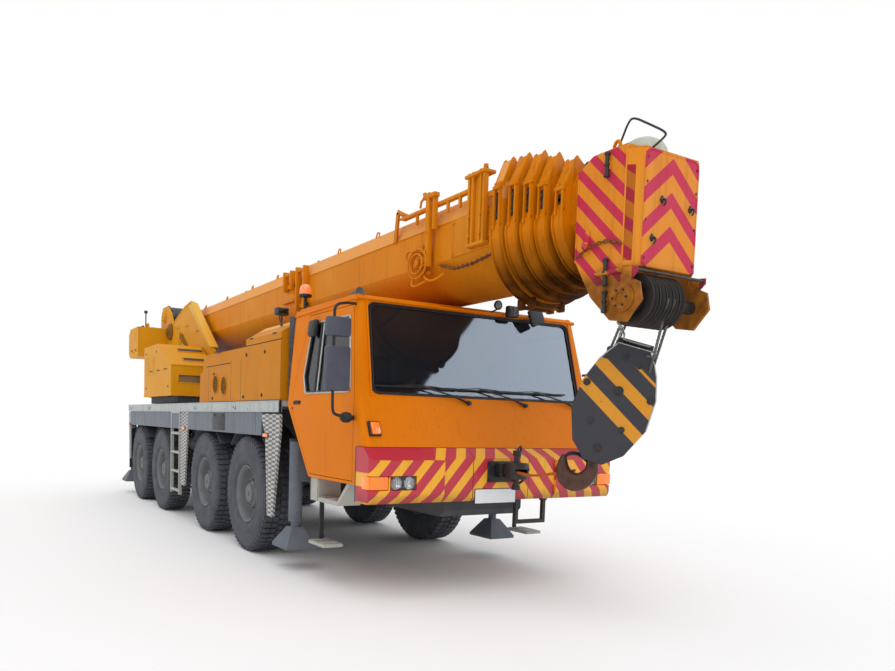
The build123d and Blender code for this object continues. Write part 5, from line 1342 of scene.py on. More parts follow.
# %% hood fittings
work, meshes, vents = bmesh.new(), bmesh.new(), bmesh.new()
for side in SIDES.values():
    for x, z in ((0.123, 2.107), (0.064, 1.793), (1.263, 1.796), (1.859, 1.805), (1.354, 2.275),
                 (1.936, 2.273)):
        bar(work, (x, side * 1.359, z), (x, side * 1.366, z), 0.02, 16)
        bar(work, (x, side * 1.366, z), (x, side * 1.372, z), 0.01, 8)
    pipe(work, [(0.27, side * 1.361, 2.372), (0.28, side * 1.378, 2.36), (0.36, side * 1.382, 2.368),
                (0.42, side * 1.378, 2.382), (0.43, side * 1.361, 2.392)], 0.006)
    for x, height in ((0.2, 1.972), (0.54, 1.945)):
        lathe(vents, [(0.108, 0), (0.112, 0.01), (0.12, 0.012), (0.126, 0.006), (0.127, -0.001)],
              spun_at((x, side * 1.36, height), Matrix.Rotation(side * -pi / 2, 4, "X")), 36)
        bar(meshes, (x, side * 1.3595, height), (x, side * 1.3625, height), 0.109, 32)
        for row in range(-5, 6):
            reach = 0.106 * sqrt(max(0, 1 - (row * 0.018 / 0.108) ** 2))
            z = height + row * 0.018
            bar(meshes, (x - reach, side * 1.365, z), (x + reach, side * 1.365, z), 0.0035, 6)
            bar(meshes, (x + row * 0.018, side * 1.364, height - reach),
                (x + row * 0.018, side * 1.364, height + reach), 0.0025, 6)
    for x in (1.5, 2.2):
        block(work, *sided(side, (x - 0.05, 1.352, 2.44), (x + 0.05, 1.364, 2.458)), 0.003)
piece(work, "hood_latches", "carrier", black_plastic)
piece(meshes, "hood_port_mesh", "carrier", mesh_tan)
piece(vents, "hood_port_rings", "carrier", hood_orange, sharp=50)

# %% louvres, lifting eyes and hood lamp
work, dark = bmesh.new(), bmesh.new()
block(dark, (1.46, -0.86, 2.5985), (2.3, 0.86, 2.6025), 0.001)
for number in range(15):
    x = 1.5 + number * 0.054
    turn = Matrix.Translation((x, 0, 2.612)) @ Matrix.Rotation(radians(-28), 4, "Y")
    block(work, (-0.022, -0.84, -0.003), (0.022, 0.84, 0.003), 0.002, turn)
for y in (-0.87, -0.29, 0.29, 0.87):
    block(work, (1.45, y - 0.012, 2.599), (2.31, y + 0.012, 2.63), 0.003)
for x in (1.45, 2.31):
    block(work, (x - 0.012, -0.87, 2.599), (x + 0.012, 0.87, 2.63), 0.003)
for x, y in ((-0.22, -1.1), (-0.22, 1.1), (1.18, -1.1), (1.18, 1.1)):
    pipe(work, [(x - 0.03, y, 2.37), (x - 0.03, y, 2.405), (x, y, 2.42), (x + 0.03, y, 2.405),
                (x + 0.03, y, 2.37)], 0.008)
block(work, (-0.2, -0.55, 2.369), (0.62, 0.55, 2.392), 0.008)
for x in (-0.12, 0.12, 0.36):
    block(dark, (x - 0.04, -0.45, 2.391), (x + 0.08, 0.45, 2.396), 0.002)
piece(work, "hood_louvres", "carrier", hood_orange)

block(dark, (1.955, -1.275, 2.668), (2.05, -1.13, 2.752), 0.016)
block(dark, (2.046, -1.262, 2.68), (2.06, -1.143, 2.74), 0.004)
bar(dark, (2, -1.2, 2.555), (2, -1.2, 2.675), 0.012, 10)
bar(dark, (1.955, -1.2, 2.71), (1.935, -1.2, 2.71), 0.03, 14, 0.022)
pipe(dark, [(1.94, -1.2, 2.71), (1.9, -1.19, 2.68), (1.9, -1.17, 2.6), (1.92, -1.15, 2.575)], 0.007)
lathe(dark, [(0.061, 0), (0.069, 0), (0.069, 0.035), (0.061, 0.035)], spun_at((2.478, -1.24, 1.905), UP), 28)
lathe(dark, [(0.061, 0), (0.069, 0), (0.069, 0.035), (0.061, 0.035)], spun_at((2.478, -1.24, 2.335), UP), 28)
lathe(dark, [(0.0605, -0.02), (0.063, -0.02), (0.063, 0.004), (0.05, 0.005), (0.05, -0.06), (0, -0.06)],
      spun_at((2.478, -1.24, 2.59), UP), 28)
for number in range(14):
    angle = number * 2 * pi / 14
    for low, high in ((1.96, 2.1), (2.14, 2.28)):
        x, y = 2.478 + 0.0605 * cos(angle), -1.24 + 0.0605 * sin(angle)
        bar(dark, (x, y, low), (x, y, high), 0.004, 6)
piece(dark, "hood_lamp_and_grilles", "carrier", exhaust_paint)

work = bmesh.new()
block(work, (2.06, -1.256, 2.685), (2.064, -1.149, 2.735), 0.001)
piece(work, "hood_lamp_glass", "carrier", lamp_glass)
print("hood finished")

# %% [markdown]
# ## The superstructure
# Everything above the slewing ring turns together. The power house is a sheet box with louvres and a
# grab recess, and the tall side plates are thick steel, so they get a flange along their front edge,
# painted paler as a highlight.

# %% flanges of the side plates
work, edges, motors = bmesh.new(), bmesh.new(), bmesh.new()
for side in SIDES.values():
    foot, top = Vector((-2.4, side * 0.59, 2.69)), Vector((-3.585, side * 0.59, 3.56))
    way = (top - foot).normalized()
    out = Vector((way.z, 0, -way.x))
    corners = [foot + Vector((0, -0.075, 0)), foot + Vector((0, 0.075, 0)),
               top + Vector((0, 0.055, 0)), top + Vector((0, -0.055, 0))]
    sheet(edges, corners, out * 0.022, 0.004)
    sheet(edges, [Vector((-3.585, side * 0.6125, 3.56)), Vector((-3.88, side * 0.6125, 3.56)),
                  Vector((-2.69, side * 0.6125, 2.745)), Vector((-2.45, side * 0.6125, 2.745))],
          (0, side * 0.004, 0), 0.001)
    lathe(motors, [(0, 0), (0.165, 0), (0.168, 0.012), (0.15, 0.045), (0.118, 0.062), (0.07, 0.066),
                   (0.066, 0.09), (0, 0.094)],
          spun_at((-5.15, side * 0.609, 3.2), Matrix.Rotation(side * -pi / 2, 4, "X")), 36)
    for number in range(3):
        x = -4.42 + number * 0.05
        pipe(motors, [(x, side * 0.612, 3.11 - number * 0.02), (x + 0.05, side * 0.645, 3.08),
                      (x + 0.15, side * 0.65, 2.98), (x + 0.32, side * 0.645, 2.9),
                      (x + 0.4, side * 0.612, 2.84)], 0.014)
    route = [(-3.6, 3.56), (-3.76, 3.602), (-4.15, 3.562), (-5.02, 3.332)]
    for (x, z), (next_x, next_z) in zip(route, route[1:]):
        bar(work, (x, side * 0.59, z), (next_x, side * 0.59, next_z), 0.03, 10)
    for x, z, radius in ((-4.525, 2.95, 0.15), (-3.525, 2.07, 0.115), (-5.65, 3.545, 0.13)):
        lathe(work, [(0, 0), (radius, 0), (radius, 0.014), (radius * 0.75, 0.02), (radius * 0.72, 0.034),
                     (radius * 0.45, 0.036), (0, 0.036)],
              spun_at((x, side * 0.609, z), Matrix.Rotation(side * -pi / 2, 4, "X")), 32)
        bolt_circle(work, (x, side * 0.64, z), radius * 0.58, 6, 0.013, side * 0.016)
    for x, z in ((-3.3, 3.05), (-3.95, 3.2), (-4.6, 3.22)):
        pipe(work, [(x - 0.06, side * 0.612, z), (x - 0.06, side * 0.64, z), (x + 0.06, side * 0.64, z),
                    (x + 0.06, side * 0.612, z)], 0.01)
piece(work, "side_plate_flanges", "superstructure", house_orange)
piece(edges, "side_plate_edges", "superstructure", highlight_orange)
piece(motors, "side_plate_motors_and_hoses", "superstructure", mesh_tan)

# %% [markdown]
# The house's slanting front carries two slots with slats behind them, and its upright front a long
# recess for the hand. A recess is drawn as a raised frame with an inner face set behind it, painted in
# shade.

# %% power house louvres and recess
HOUSE_SLOPE = atan2(0.385, 0.87)


def on_house_front(run, y, proud):
    """Point on the slanting front: run is the way up from its lower edge."""
    return Vector((-2.125 - run * cos(HOUSE_SLOPE) + proud * sin(HOUSE_SLOPE), y,
                   2.36 + run * sin(HOUSE_SLOPE) + proud * cos(HOUSE_SLOPE)))


frames, dark, shade = bmesh.new(), bmesh.new(), bmesh.new()
for run, low_y, high_y in ((0.245, -1.11, -0.7), (0.69, -1.095, -0.67)):
    turn = Matrix.Translation(on_house_front(run, 0, 0)) @ Matrix.Rotation(HOUSE_SLOPE, 4, "Y")
    block(dark, (-0.062, low_y, -0.002), (0.062, high_y, 0.003), 0.001, turn)
    for x in (-0.066, 0.066):
        block(frames, (x - 0.008, low_y - 0.012, 0), (x + 0.008, high_y + 0.012, 0.014), 0.003, turn)
    for y in (low_y - 0.004, high_y + 0.004):
        block(frames, (-0.066, y - 0.008, 0), (0.066, y + 0.008, 0.014), 0.003, turn)
    for number in range(3):
        middle = Matrix.Translation((-0.036 + number * 0.036, 0, 0.006))
        slat = turn @ middle @ Matrix.Rotation(radians(35), 4, "Y")
        block(dark, (-0.012, low_y, -0.0015), (0.012, high_y, 0.0015), 0.001, slat)
# the recess's inner face in a dull brown-orange: painted shade
block(shade, (-2.127, -1.235, 2.085), (-2.1225, -0.87, 2.2), 0.001)
block(frames, (-2.127, -1.25, 2.198), (-2.095, -0.855, 2.214), 0.005)
block(frames, (-2.127, -1.25, 2.07), (-2.118, -0.855, 2.086), 0.004)
for y in (-1.245, -0.86):
    block(frames, (-2.127, y - 0.008, 2.075), (-2.112, y + 0.008, 2.208), 0.004)
bar(frames, on_house_front(0, -1.36, -0.006), on_house_front(0, -0.64, -0.006), 0.012, 10)
for x, z in ((-3.86, 2.02), (-2.3, 2.02), (-3.86, 2.62), (-3.1, 2.62)):
    bar(dark, (x, -1.359, z), (x, -1.366, z), 0.018, 12)
for x in (-3.7, -3.35):
    for number in range(9):
        block(frames, (x - 0.13, -1.366, 2.25 + number * 0.034), (x + 0.13, -1.358, 2.262 + number * 0.034),
              0.003)
for x in (-2.45, -2.95, -3.45):
    pipe(dark, [(x - 0.07, -1.358, 2.3), (x - 0.07, -1.385, 2.3), (x + 0.07, -1.385, 2.3),
                (x + 0.07, -1.358, 2.3)], 0.007)
block(dark, (-3.72, -1.16, 2.7435), (-3.08, -0.84, 2.7485), 0.002)
for number in range(12):
    block(frames, (-3.71 + number * 0.054, -1.16, 2.746), (-3.69 + number * 0.054, -0.84, 2.76), 0.003)
piece(frames, "power_house_frames", "superstructure", house_orange, sharp=40)
piece(dark, "power_house_grilles", "superstructure", exhaust_paint)
piece(shade, "power_house_recess", "superstructure", shaded_paint)
# the sill under the power house, in the darker chassis grey: partly the turntable's lower plate, partly
# painted shade under it
work = bmesh.new()
block(work, (-3.95, -1.25, 1.757), (-2.15, -0.76, 1.917), 0.01)
for x in (-3.7, -3.05, -2.4):
    block(work, (x - 0.03, -1.33, 1.86), (x + 0.03, -1.2, 1.917), 0.005)
piece(work, "power_house_sill", "superstructure", shaded_under_grey)

# %% [markdown]
# ## Winch, counterweight and mast light
# The hoist rope is wound tightly on its drum. A lathe outline with one bump per turn gives the lay of
# the rope without modelling a single long strand.

# %% rope on the drum
work = bmesh.new()
ROPE_RADIUS = 0.011
WINCH_X, WINCH_Z = -5.65, 3.545
outline = [(0.188, -0.522)]
for number in range(46):
    y = -0.506 + number * 0.022
    outline += [(0.194, y - 0.011), (0.2045, y - 0.0065), (0.2085, y), (0.2045, y + 0.0065)]
outline += [(0.194, 0.495), (0.188, 0.522)]
lathe(work, outline, spun_at((WINCH_X, 0, WINCH_Z)), 56)
piece(work, "winch_rope", "winch_drum", wire_rope, sharp=80)

work = bmesh.new()
for side in SIDES.values():
    bolt_circle(work, (WINCH_X, side * 0.548, WINCH_Z), 0.212, 10, 0.01, side * 0.01)
piece(work, "winch_drum_bolts", "winch_drum", dark_steel)

# %% counterweight fittings, winch gear and the tail pole
work, dark = bmesh.new(), bmesh.new()
for side in SIDES.values():
    for x in (-6.02, -5.5):
        pipe(work, [(x - 0.06, side * 0.98, 3.278), (x - 0.06, side * 0.98, 3.345), (x, side * 0.98, 3.372),
                    (x + 0.06, side * 0.98, 3.345), (x + 0.06, side * 0.98, 3.278)], 0.018)
    block(work, *sided(side, (-5.98, 0.72, 3.279), (-5.42, 1.02, 3.292)), 0.005)
    block(work, *sided(side, (-5.9, 1.198, 2.8), (-5.5, 1.212, 2.86)), 0.005)
    for x in (-5.86, -5.54):
        bar(dark, (x, side * 1.21, 2.83), (x, side * 1.224, 2.83), 0.02, 6)
        bar(dark, (x, side * 0.86, 3.29), (x, side * 0.86, 3.305), 0.026, 6)
    block(work, *sided(side, (-5.7, 1.199, 3.02), (-5.66, 1.206, 3.2)), 0.002)
for y in (-0.42, 0.42):
    block(work, (-6.2235, y - 0.1, 2.88), (-6.205, y + 0.1, 3.02), 0.006)
    bar(dark, (-6.214, y, 2.95), (-6.2235, y, 2.95), 0.04, 20)
lathe(dark, [(0, 0.62), (0.1, 0.62), (0.13, 0.6), (0.145, 0.57), (0, 0.57)],
      spun_at((WINCH_X, 0.06, WINCH_Z)), 32)
bar(dark, (WINCH_X, 0.612, WINCH_Z), (WINCH_X, 0.86, WINCH_Z), 0.12, 32, 0.11)
bar(dark, (WINCH_X, 0.86, WINCH_Z), (WINCH_X, 0.93, WINCH_Z), 0.085, 24, 0.06)
bolt_circle(dark, (WINCH_X, 0.72, WINCH_Z), 0.104, 8, 0.014, 0.02)
pipe(dark, [(-5.65, 0.9, 3.52), (-5.6, 0.98, 3.42), (-5.45, 0.92, 3.34), (-5.3, 0.7, 3.31),
            (-5.1, 0.63, 3.2)], 0.016)
pipe(dark, [(-5.69, 0.9, 3.52), (-5.66, 1, 3.4), (-5.49, 0.96, 3.32), (-5.33, 0.74, 3.28),
            (-5.12, 0.63, 3.15)], 0.016)
bar(dark, (-5.8, -0.955, 3.285), (-5.8, -0.955, 3.6), 0.012, 10)
lathe(dark, [(0, 0), (0.028, 0.008), (0.036, 0.03), (0.036, 0.045), (0.028, 0.062), (0, 0.068)],
      spun_at((-5.8, -0.955, 3.595), UP), 20)
block(dark, (-5.86, -1.02, 3.29), (-5.74, -0.89, 3.3), 0.004)
block(dark, (-6.02, -1.06, 3.3), (-5.62, -1.02, 3.335), 0.008)
piece(work, "counterweight_fittings", "superstructure", house_orange)
piece(dark, "winch_motor_and_pole", "superstructure", dark_steel)

# %% [markdown]
# ## The operator's cab
# From here the crane is worked, so the cab is glass nearly all round. Panes are thin tinted plates in
# rubber gaskets, with a wiper in front, a seat inside and grab rails beside the sliding door.

# %% operator's cab glass and gaskets
glass, rubber = bmesh.new(), bmesh.new()
low, high = Vector((-1.256, 0, 2.4)), Vector((-1.3965, 0, 3.16))
lean = (high - low).normalized()
front_out = Vector((lean.z, 0, -lean.x))
pane = [low + Vector((0, 0.731, 0)), low + Vector((0, 1.269, 0)), high + Vector((0, 1.269, 0)),
        high + Vector((0, 0.731, 0))]
sheet(glass, [p - front_out * 0.012 for p in pane], front_out * -0.006)
closed_pipe(rubber, [p + front_out * 0.002 for p in pane], 0.013)
QUARTER = [(-1.88, 2.35), (-1.33, 2.35), (-1.48, 3.18), (-1.88, 3.18)]
for y, way in ((1.352, -1), (0.648, 1)):
    sheet(glass, [(x, y, z) for x, z in QUARTER], (0, way * 0.006, 0))
    closed_pipe(rubber, [Vector((x, y + way * -0.01, z)) for x, z in rounded(QUARTER, 0.05)], 0.012)
block(rubber, (-2.6, 0.9, 3.318), (-2.05, 1.22, 3.326), 0.003)
block(rubber, (-2.6, 0.636, 2.42), (-2.05, 0.642, 3.08), 0.002)
pipe(rubber, [(-1.248, 1.02, 2.375), (-1.215, 1.02, 2.38), (-1.262, 0.99, 2.62), (-1.3, 0.95, 2.86)], 0.008)
bar(rubber, (-1.262, 0.99, 2.56), (-1.325, 0.93, 2.98), 0.009, 6)
for x in (-1.99, -2.88):
    pipe(rubber, [(x, 1.394, 2.1), (x, 1.436, 2.13), (x, 1.436, 2.92), (x, 1.394, 2.95)], 0.011)
block(rubber, (-1.62, 0.76, 2.05), (-1.42, 1.24, 2.34), 0.04)
block(rubber, (-2.3, 0.86, 1.98), (-1.86, 1.14, 2.2), 0.03)
block(rubber, (-1.3, 1.06, 3.225), (-1.225, 1.3, 3.29), 0.012)
block(rubber, (-1.3, 0.7, 3.225), (-1.225, 0.94, 3.29), 0.012)
piece(glass, "operator_cab_glass", "superstructure", cab_glass)
piece(rubber, "operator_cab_gaskets", "superstructure", seal_rubber)

work = bmesh.new()
block(work, (-2.36, 0.8, 2.18), (-1.86, 1.2, 2.3), 0.045)
turn = Matrix.Translation((-2.36, 1, 2.62)) @ Matrix.Rotation(radians(-9), 4, "Y")
block(work, (-0.055, -0.2, -0.34), (0.055, 0.2, 0.36), 0.045, turn)
for y in (0.79, 1.21):
    block(work, (-2.32, y - 0.03, 2.42), (-1.92, y + 0.03, 2.47), 0.02)
piece(work, "operator_seat", "superstructure", seat_cloth)

work = bmesh.new()
block(work, (-1.222, 1.085, 3.238), (-1.218, 1.275, 3.278), 0.001)
block(work, (-1.222, 0.725, 3.238), (-1.218, 0.915, 3.278), 0.001)
piece(work, "operator_cab_lamp_glass", "superstructure", lamp_glass)

pane, gasket = bmesh.new(), bmesh.new()
DOOR_PANE = [(-2.74, 2.35), (-2, 2.35), (-2, 3.17), (-2.74, 3.17)]
sheet(pane, [(x, 1.384, z) for x, z in DOOR_PANE], (0, -0.006, 0))
closed_pipe(gasket, [Vector((x, 1.392, z)) for x, z in rounded(DOOR_PANE, 0.05)], 0.012)
block(gasket, (-2.075, 1.392, 2.185), (-1.965, 1.408, 2.235), 0.006)
pipe(gasket, [(-2.05, 1.4, 2.21), (-2.05, 1.425, 2.21), (-1.98, 1.425, 2.21), (-1.98, 1.4, 2.21)], 0.007)
piece(pane, "sliding_door_glass", "crane_cab_door", cab_glass)
piece(gasket, "sliding_door_gasket", "crane_cab_door", seal_rubber)

# %% [markdown]
# ## Luffing cylinder
# A cylinder shows as a painted barrel with a thick gland at its mouth, oil pipes strapped along its
# top and a bright rod. The hoses leave at the foot, so that they hardly move when the boom rises.

# %% cylinder gland and pipes
LUFF_FOOT, LUFF_EYE = Vector((-3.525, 0, 2.07)), Vector((-0.925, 0, 2.57))
luff_way = (LUFF_EYE - LUFF_FOOT).normalized()
luff_up = Vector((-luff_way.z, 0, luff_way.x))
luff_frame = Matrix.Translation(LUFF_FOOT) @ luff_way.to_track_quat("Z", "Y").to_matrix().to_4x4()
work = bmesh.new()
lathe(work, [(0.1152, 2.3), (0.132, 2.302), (0.138, 2.31), (0.138, 2.4), (0.13, 2.412), (0.13, 2.455),
             (0.1, 2.465), (0.082, 2.465)], luff_frame, 40)
lathe(work, [(0.1152, 0.3), (0.126, 0.304), (0.126, 0.35), (0.1152, 0.354)], luff_frame, 40)
lathe(work, [(0.1152, 1.28), (0.122, 1.284), (0.122, 1.33), (0.1152, 1.334)], luff_frame, 40)
piece(work, "cylinder_gland", "luff_barrel", house_orange)
work = bmesh.new()
for offset in (-0.04, 0.04):
    start = LUFF_FOOT + luff_way * 0.22 + luff_up * 0.13 + Vector((0, offset, 0))
    end = LUFF_FOOT + luff_way * (2.36 if offset > 0 else 1.9) + luff_up * 0.145 + Vector((0, offset, 0))
    pipe(work, [start - luff_up * 0.02, start + luff_way * 0.05, start.lerp(end, 0.5), end - luff_way * 0.05,
                end, end - luff_up * 0.04], 0.012)
for distance in (0.7, 1.05, 1.6, 2.05):
    centre = LUFF_FOOT + luff_way * distance + luff_up * 0.135
    bar(work, centre + Vector((0, -0.065, 0)), centre + Vector((0, 0.065, 0)), 0.018, 8)
piece(work, "cylinder_pipes", "luff_barrel", dark_steel)
print("superstructure finished")

# %% [markdown]
# ## Boom fittings
# The boom is a smooth tube, and what gives it scale is what is bolted to it: rails for whoever
# rigs the jib, brackets, a chain, a hose drum and pipes. They stand a few centimetres off its side.

# %% jib brackets and side plates
SIDE_WALL = 0.45
work = bmesh.new()
for side in SIDES.values():
    for low_x, high_x, low_z, high_z in ((0.36, 0.63, 3.22, 3.325), (0.77, 1.04, 2.93, 3.325)):
        wide = high_x - low_x
        block(work, *sided(side, (low_x, SIDE_WALL - 0.002, low_z),
                           (low_x + 0.045, SIDE_WALL + 0.075, high_z + 0.15)), 0.008)
        block(work, *sided(side, (high_x - 0.045, SIDE_WALL - 0.002, low_z),
                           (high_x, SIDE_WALL + 0.075, high_z + 0.14)), 0.008)
        block(work, *sided(side, (low_x, SIDE_WALL - 0.002, low_z + 0.03),
                           (high_x, SIDE_WALL + 0.03, low_z + 0.085)), 0.006)
        bar(work, (low_x + 0.02, side * (SIDE_WALL + 0.04), high_z + 0.1),
            (high_x - 0.02, side * (SIDE_WALL + 0.04), high_z + 0.1), 0.022, 14)
    outline = [(0.28, 3.07), (0.66, 3.07), (0.72, 3.12), (0.62, 3.175), (0.34, 3.165)]
    sheet(work, [(x, side * (SIDE_WALL - 0.001), z) for x, z in outline], (0, side * 0.045, 0), 0.006)
    block(work, *sided(side, (4.08, SIDE_WALL - 0.002, 3.01), (4.64, SIDE_WALL + 0.012, 3.33)), 0.004)
    for x, z in ((4.11, 3.04), (4.11, 3.3), (4.61, 3.04), (4.61, 3.3)):
        bar(work, (x, side * (SIDE_WALL + 0.011), z), (x, side * (SIDE_WALL + 0.02), z), 0.012, 6)
    bar(work, (-4.55, side * (SIDE_WALL + 0.001), 3.335), (4.62, side * (SIDE_WALL + 0.001), 3.335), 0.006, 6)
for x in (-3.6, -2.4, -1.2, -0.2, 1.7, 2.6):
    for side in SIDES.values():
        pipe(work, [(x, side * 0.385, 3.495), (x, side * 0.378, 3.535), (x + 0.03, side * 0.375, 3.548),
                    (x + 0.06, side * 0.378, 3.535), (x + 0.06, side * 0.385, 3.495)], 0.008)
piece(work, "boom_brackets", "boom_base", boom_orange)

# %% [markdown]
# The rigging rail runs along the boom's right shoulder: a flat top rail on posts, a tall frame of two
# uprights, and a guard of angle steel in front of the first collar.

# %% rigging rail and guard
work = bmesh.new()
RAIL_Y = -0.47


def angle_bar(work, start, end, leg=0.045, thick=0.006):
    """Angle steel between two points in the boom's side plane."""
    start, end = Vector(start), Vector(end)
    way = (end - start).normalized()
    inward = way.cross(Vector((0, 1, 0))).normalized() * leg
    sheet(work, [start, end, end + inward, start + inward], (0, thick, 0), 0.001)
    sheet(work, [start, end, end + Vector((0, leg, 0)), start + Vector((0, leg, 0))],
          inward.normalized() * thick, 0.001)


angle_bar(work, (3.14, RAIL_Y, 3.615), (3.105, RAIL_Y, 3.33))
angle_bar(work, (3.145, RAIL_Y, 3.605), (3.32, RAIL_Y, 3.52))
bar(work, (3.15, RAIL_Y + 0.02, 3.545), (3.42, RAIL_Y + 0.02, 3.545), 0.012, 10)
block(work, (3.25, RAIL_Y - 0.008, 3.515), (4.385, RAIL_Y + 0.045, 3.545), 0.004)
block(work, (3.25, RAIL_Y - 0.008, 3.56), (3.3, RAIL_Y + 0.045, 3.575), 0.004)
block(work, (3.76, RAIL_Y - 0.062, 2.98), (3.815, RAIL_Y - 0.01, 3.64), 0.006)
block(work, (3.85, RAIL_Y - 0.05, 3.3), (3.885, RAIL_Y - 0.005, 3.6), 0.006)
block(work, (3.74, RAIL_Y - 0.066, 3.585), (3.905, RAIL_Y - 0.004, 3.625), 0.006)
bar(work, (3.725, RAIL_Y - 0.035, 3.6), (3.7, RAIL_Y - 0.035, 3.655), 0.02, 12)
pipe(work, [(3.7, RAIL_Y - 0.03, 3.64), (3.66, RAIL_Y - 0.03, 3.6), (3.62, RAIL_Y - 0.02, 3.61),
            (3.58, RAIL_Y, 3.56)], 0.011)
for x in (3.52, 4.02, 4.2):
    block(work, (x - 0.015, RAIL_Y - 0.004, 3.42), (x + 0.015, RAIL_Y + 0.02, 3.52), 0.004)
for x in (4.4, 4.45, 4.555, 4.6):
    block(work, (x - 0.012, RAIL_Y - 0.058, 3.055), (x + 0.014, RAIL_Y - 0.012, 3.64), 0.004)
block(work, (4.355, RAIL_Y - 0.07, 3.6), (4.625, RAIL_Y + 0.055, 3.628), 0.006)
block(work, (4.38, RAIL_Y - 0.06, 3.03), (4.62, RAIL_Y + 0.02, 3.06), 0.006)
block(work, (4.465, RAIL_Y - 0.03, 3.06), (4.545, RAIL_Y - 0.012, 3.6), 0.003)
bar(work, (4.6, RAIL_Y - 0.035, 3.64), (4.6, RAIL_Y - 0.035, 3.665), 0.02, 12)
block(work, (4.62, RAIL_Y - 0.02, 3.4), (4.745, RAIL_Y + 0.02, 3.44), 0.004)
pipe(work, [(4.62, RAIL_Y, 3.1), (4.66, RAIL_Y - 0.01, 3.09), (4.71, RAIL_Y - 0.01, 3.16),
            (4.715, RAIL_Y, 3.38)], 0.009)
for x in (3.785, 4.425, 4.575):
    for z in (3.12, 3.28):
        bar(work, (x, RAIL_Y - 0.07, z), (x, RAIL_Y - 0.045, z), 0.013, 6)
piece(work, "rigging_rail", "boom_base", boom_orange)

# %% [markdown]
# A chain of welded links is one link copied along a line, each turned a quarter against the last. The
# link itself is a closed pipe round a stadium shape.

# %% chains
def chain(work, route, link=0.042, wire=0.0055):
    """Links along a route of points."""
    points = [Vector(p) for p in route]
    turned = 0
    for start, end in zip(points, points[1:]):
        way = (end - start).normalized()
        count = max(1, round((end - start).length / (link * 0.72)))
        for number in range(count):
            middle = start.lerp(end, (number + 0.5) / count)
            side_way = way.cross(Vector((0, 0, 1)) if abs(way.z) < 0.9 else Vector((1, 0, 0))).normalized()
            if turned % 2:
                side_way = way.cross(side_way)
            turned += 1
            oval = [middle + way * cos(a) * link / 2 + side_way * sin(a) * link * 0.3
                    for a in (step * pi / 5 for step in range(10))]
            pipe(work, [*oval, oval[0], oval[1]], wire, bent=False, sides=1)


work = bmesh.new()
chain(work, [(3.92, -0.47, 2.975), (4.18, -0.476, 2.9), (4.44, -0.476, 2.905), (4.735, -0.474, 2.945)], 0.048,
      0.0055)
piece(work, "boom_chain", "boom_base", rusty_chain)

# %% [markdown]
# Low on the boom's side hangs a small hose drum for the jib's oil line, with its swivel and a bundle
# of loops held by a clip.

# %% hose drum and hoses
work, coils = bmesh.new(), bmesh.new()
side_frame = spun_at((3.655, -0.5, 3.03), Matrix.Rotation(pi / 2, 4, "X"))
lathe(work, [(0, -0.045), (0.05, -0.045), (0.05, 0), (0.03, 0.004), (0.03, 0.05), (0, 0.052)], side_frame, 24)
block(work, (3.62, -0.505, 3.08), (3.69, -0.452, 3.2), 0.006)
block(work, (3.7, -0.535, 3.02), (3.8, -0.47, 3.07), 0.008)
block(work, (3.56, -0.5, 2.92), (3.76, -0.448, 2.95), 0.006)
for z, reach in ((2.99, 0.1), (3.06, 0.12)):
    block(work, (3.655 - reach, -0.52, z), (3.655 + reach, -0.5, z + 0.022), 0.005)
for turn_number, radius in enumerate((0.105, 0.12, 0.135, 0.09)):
    loop = [(3.655 + cos(a) * radius * 1.15, -0.515 - turn_number * 0.012, 3.02 + sin(a) * radius)
            for a in (step * pi / 8 for step in range(16))]
    pipe(coils, [*loop, loop[0], loop[1]], 0.009, bent=False, sides=2)
pipe(coils, [(3.62, -0.5, 3.13), (3.52, -0.54, 3.18), (3.42, -0.52, 3.13), (3.46, -0.5, 3.06),
             (3.6, -0.5, 3.05)], 0.009)
pipe(coils, [(3.7, -0.5, 2.95), (3.78, -0.54, 2.86), (3.9, -0.5, 2.83), (3.98, -0.455, 2.9)], 0.01)
pipe(coils, [(3.6, -0.5, 2.95), (3.55, -0.55, 2.84), (3.68, -0.56, 2.8), (3.76, -0.5, 2.86)], 0.01)
piece(work, "hose_drum", "boom_base", boom_orange)
piece(coils, "hose_loops", "boom_base", boom_orange)

# %% [markdown]
# ## Collars
# Each section of the boom ends in a collar that keeps its mouth round under load: a broad band round
# the belly, a narrower rib up each side, and slide pads behind bolted covers. The band and its two
# rims are plates cut to an arc, and all five collars come from one loop.

# %% collar bands
COLLAR_BODIES = ("boom_base", "boom_section_1", "boom_section_2", "boom_section_3", "boom_section_4")
COLLAR_FRONTS = (4.85, 5, 5.14, 5.265, 5.42)
COLLAR_PEAKS = (3.64, 3.635, 3.615, 3.57, 3.505)
SHOULDER = 3.04


def band(work, x, wide, proud, half, bottom, top):
    """C-shaped plate round the belly of a collar, with slanting ends on its sides."""
    rise = SHOULDER - bottom
    radius = (half ** 2 + rise ** 2) / (2 * rise)
    reach = asin(half / radius)

    def belly(out):
        angles = [reach * (step / 18 - 1) for step in range(37)]
        return [(sin(a) * (radius + out), bottom + radius - cos(a) * (radius + out)) for a in angles]

    route = [(-half + 0.001, top), (-half - proud, top - 0.03), *belly(proud), (half + proud, top - 0.03),
             (half - 0.001, top), *reversed(belly(-0.001))]
    sheet(work, [(x, y, z) for y, z in route], (wide, 0, 0))


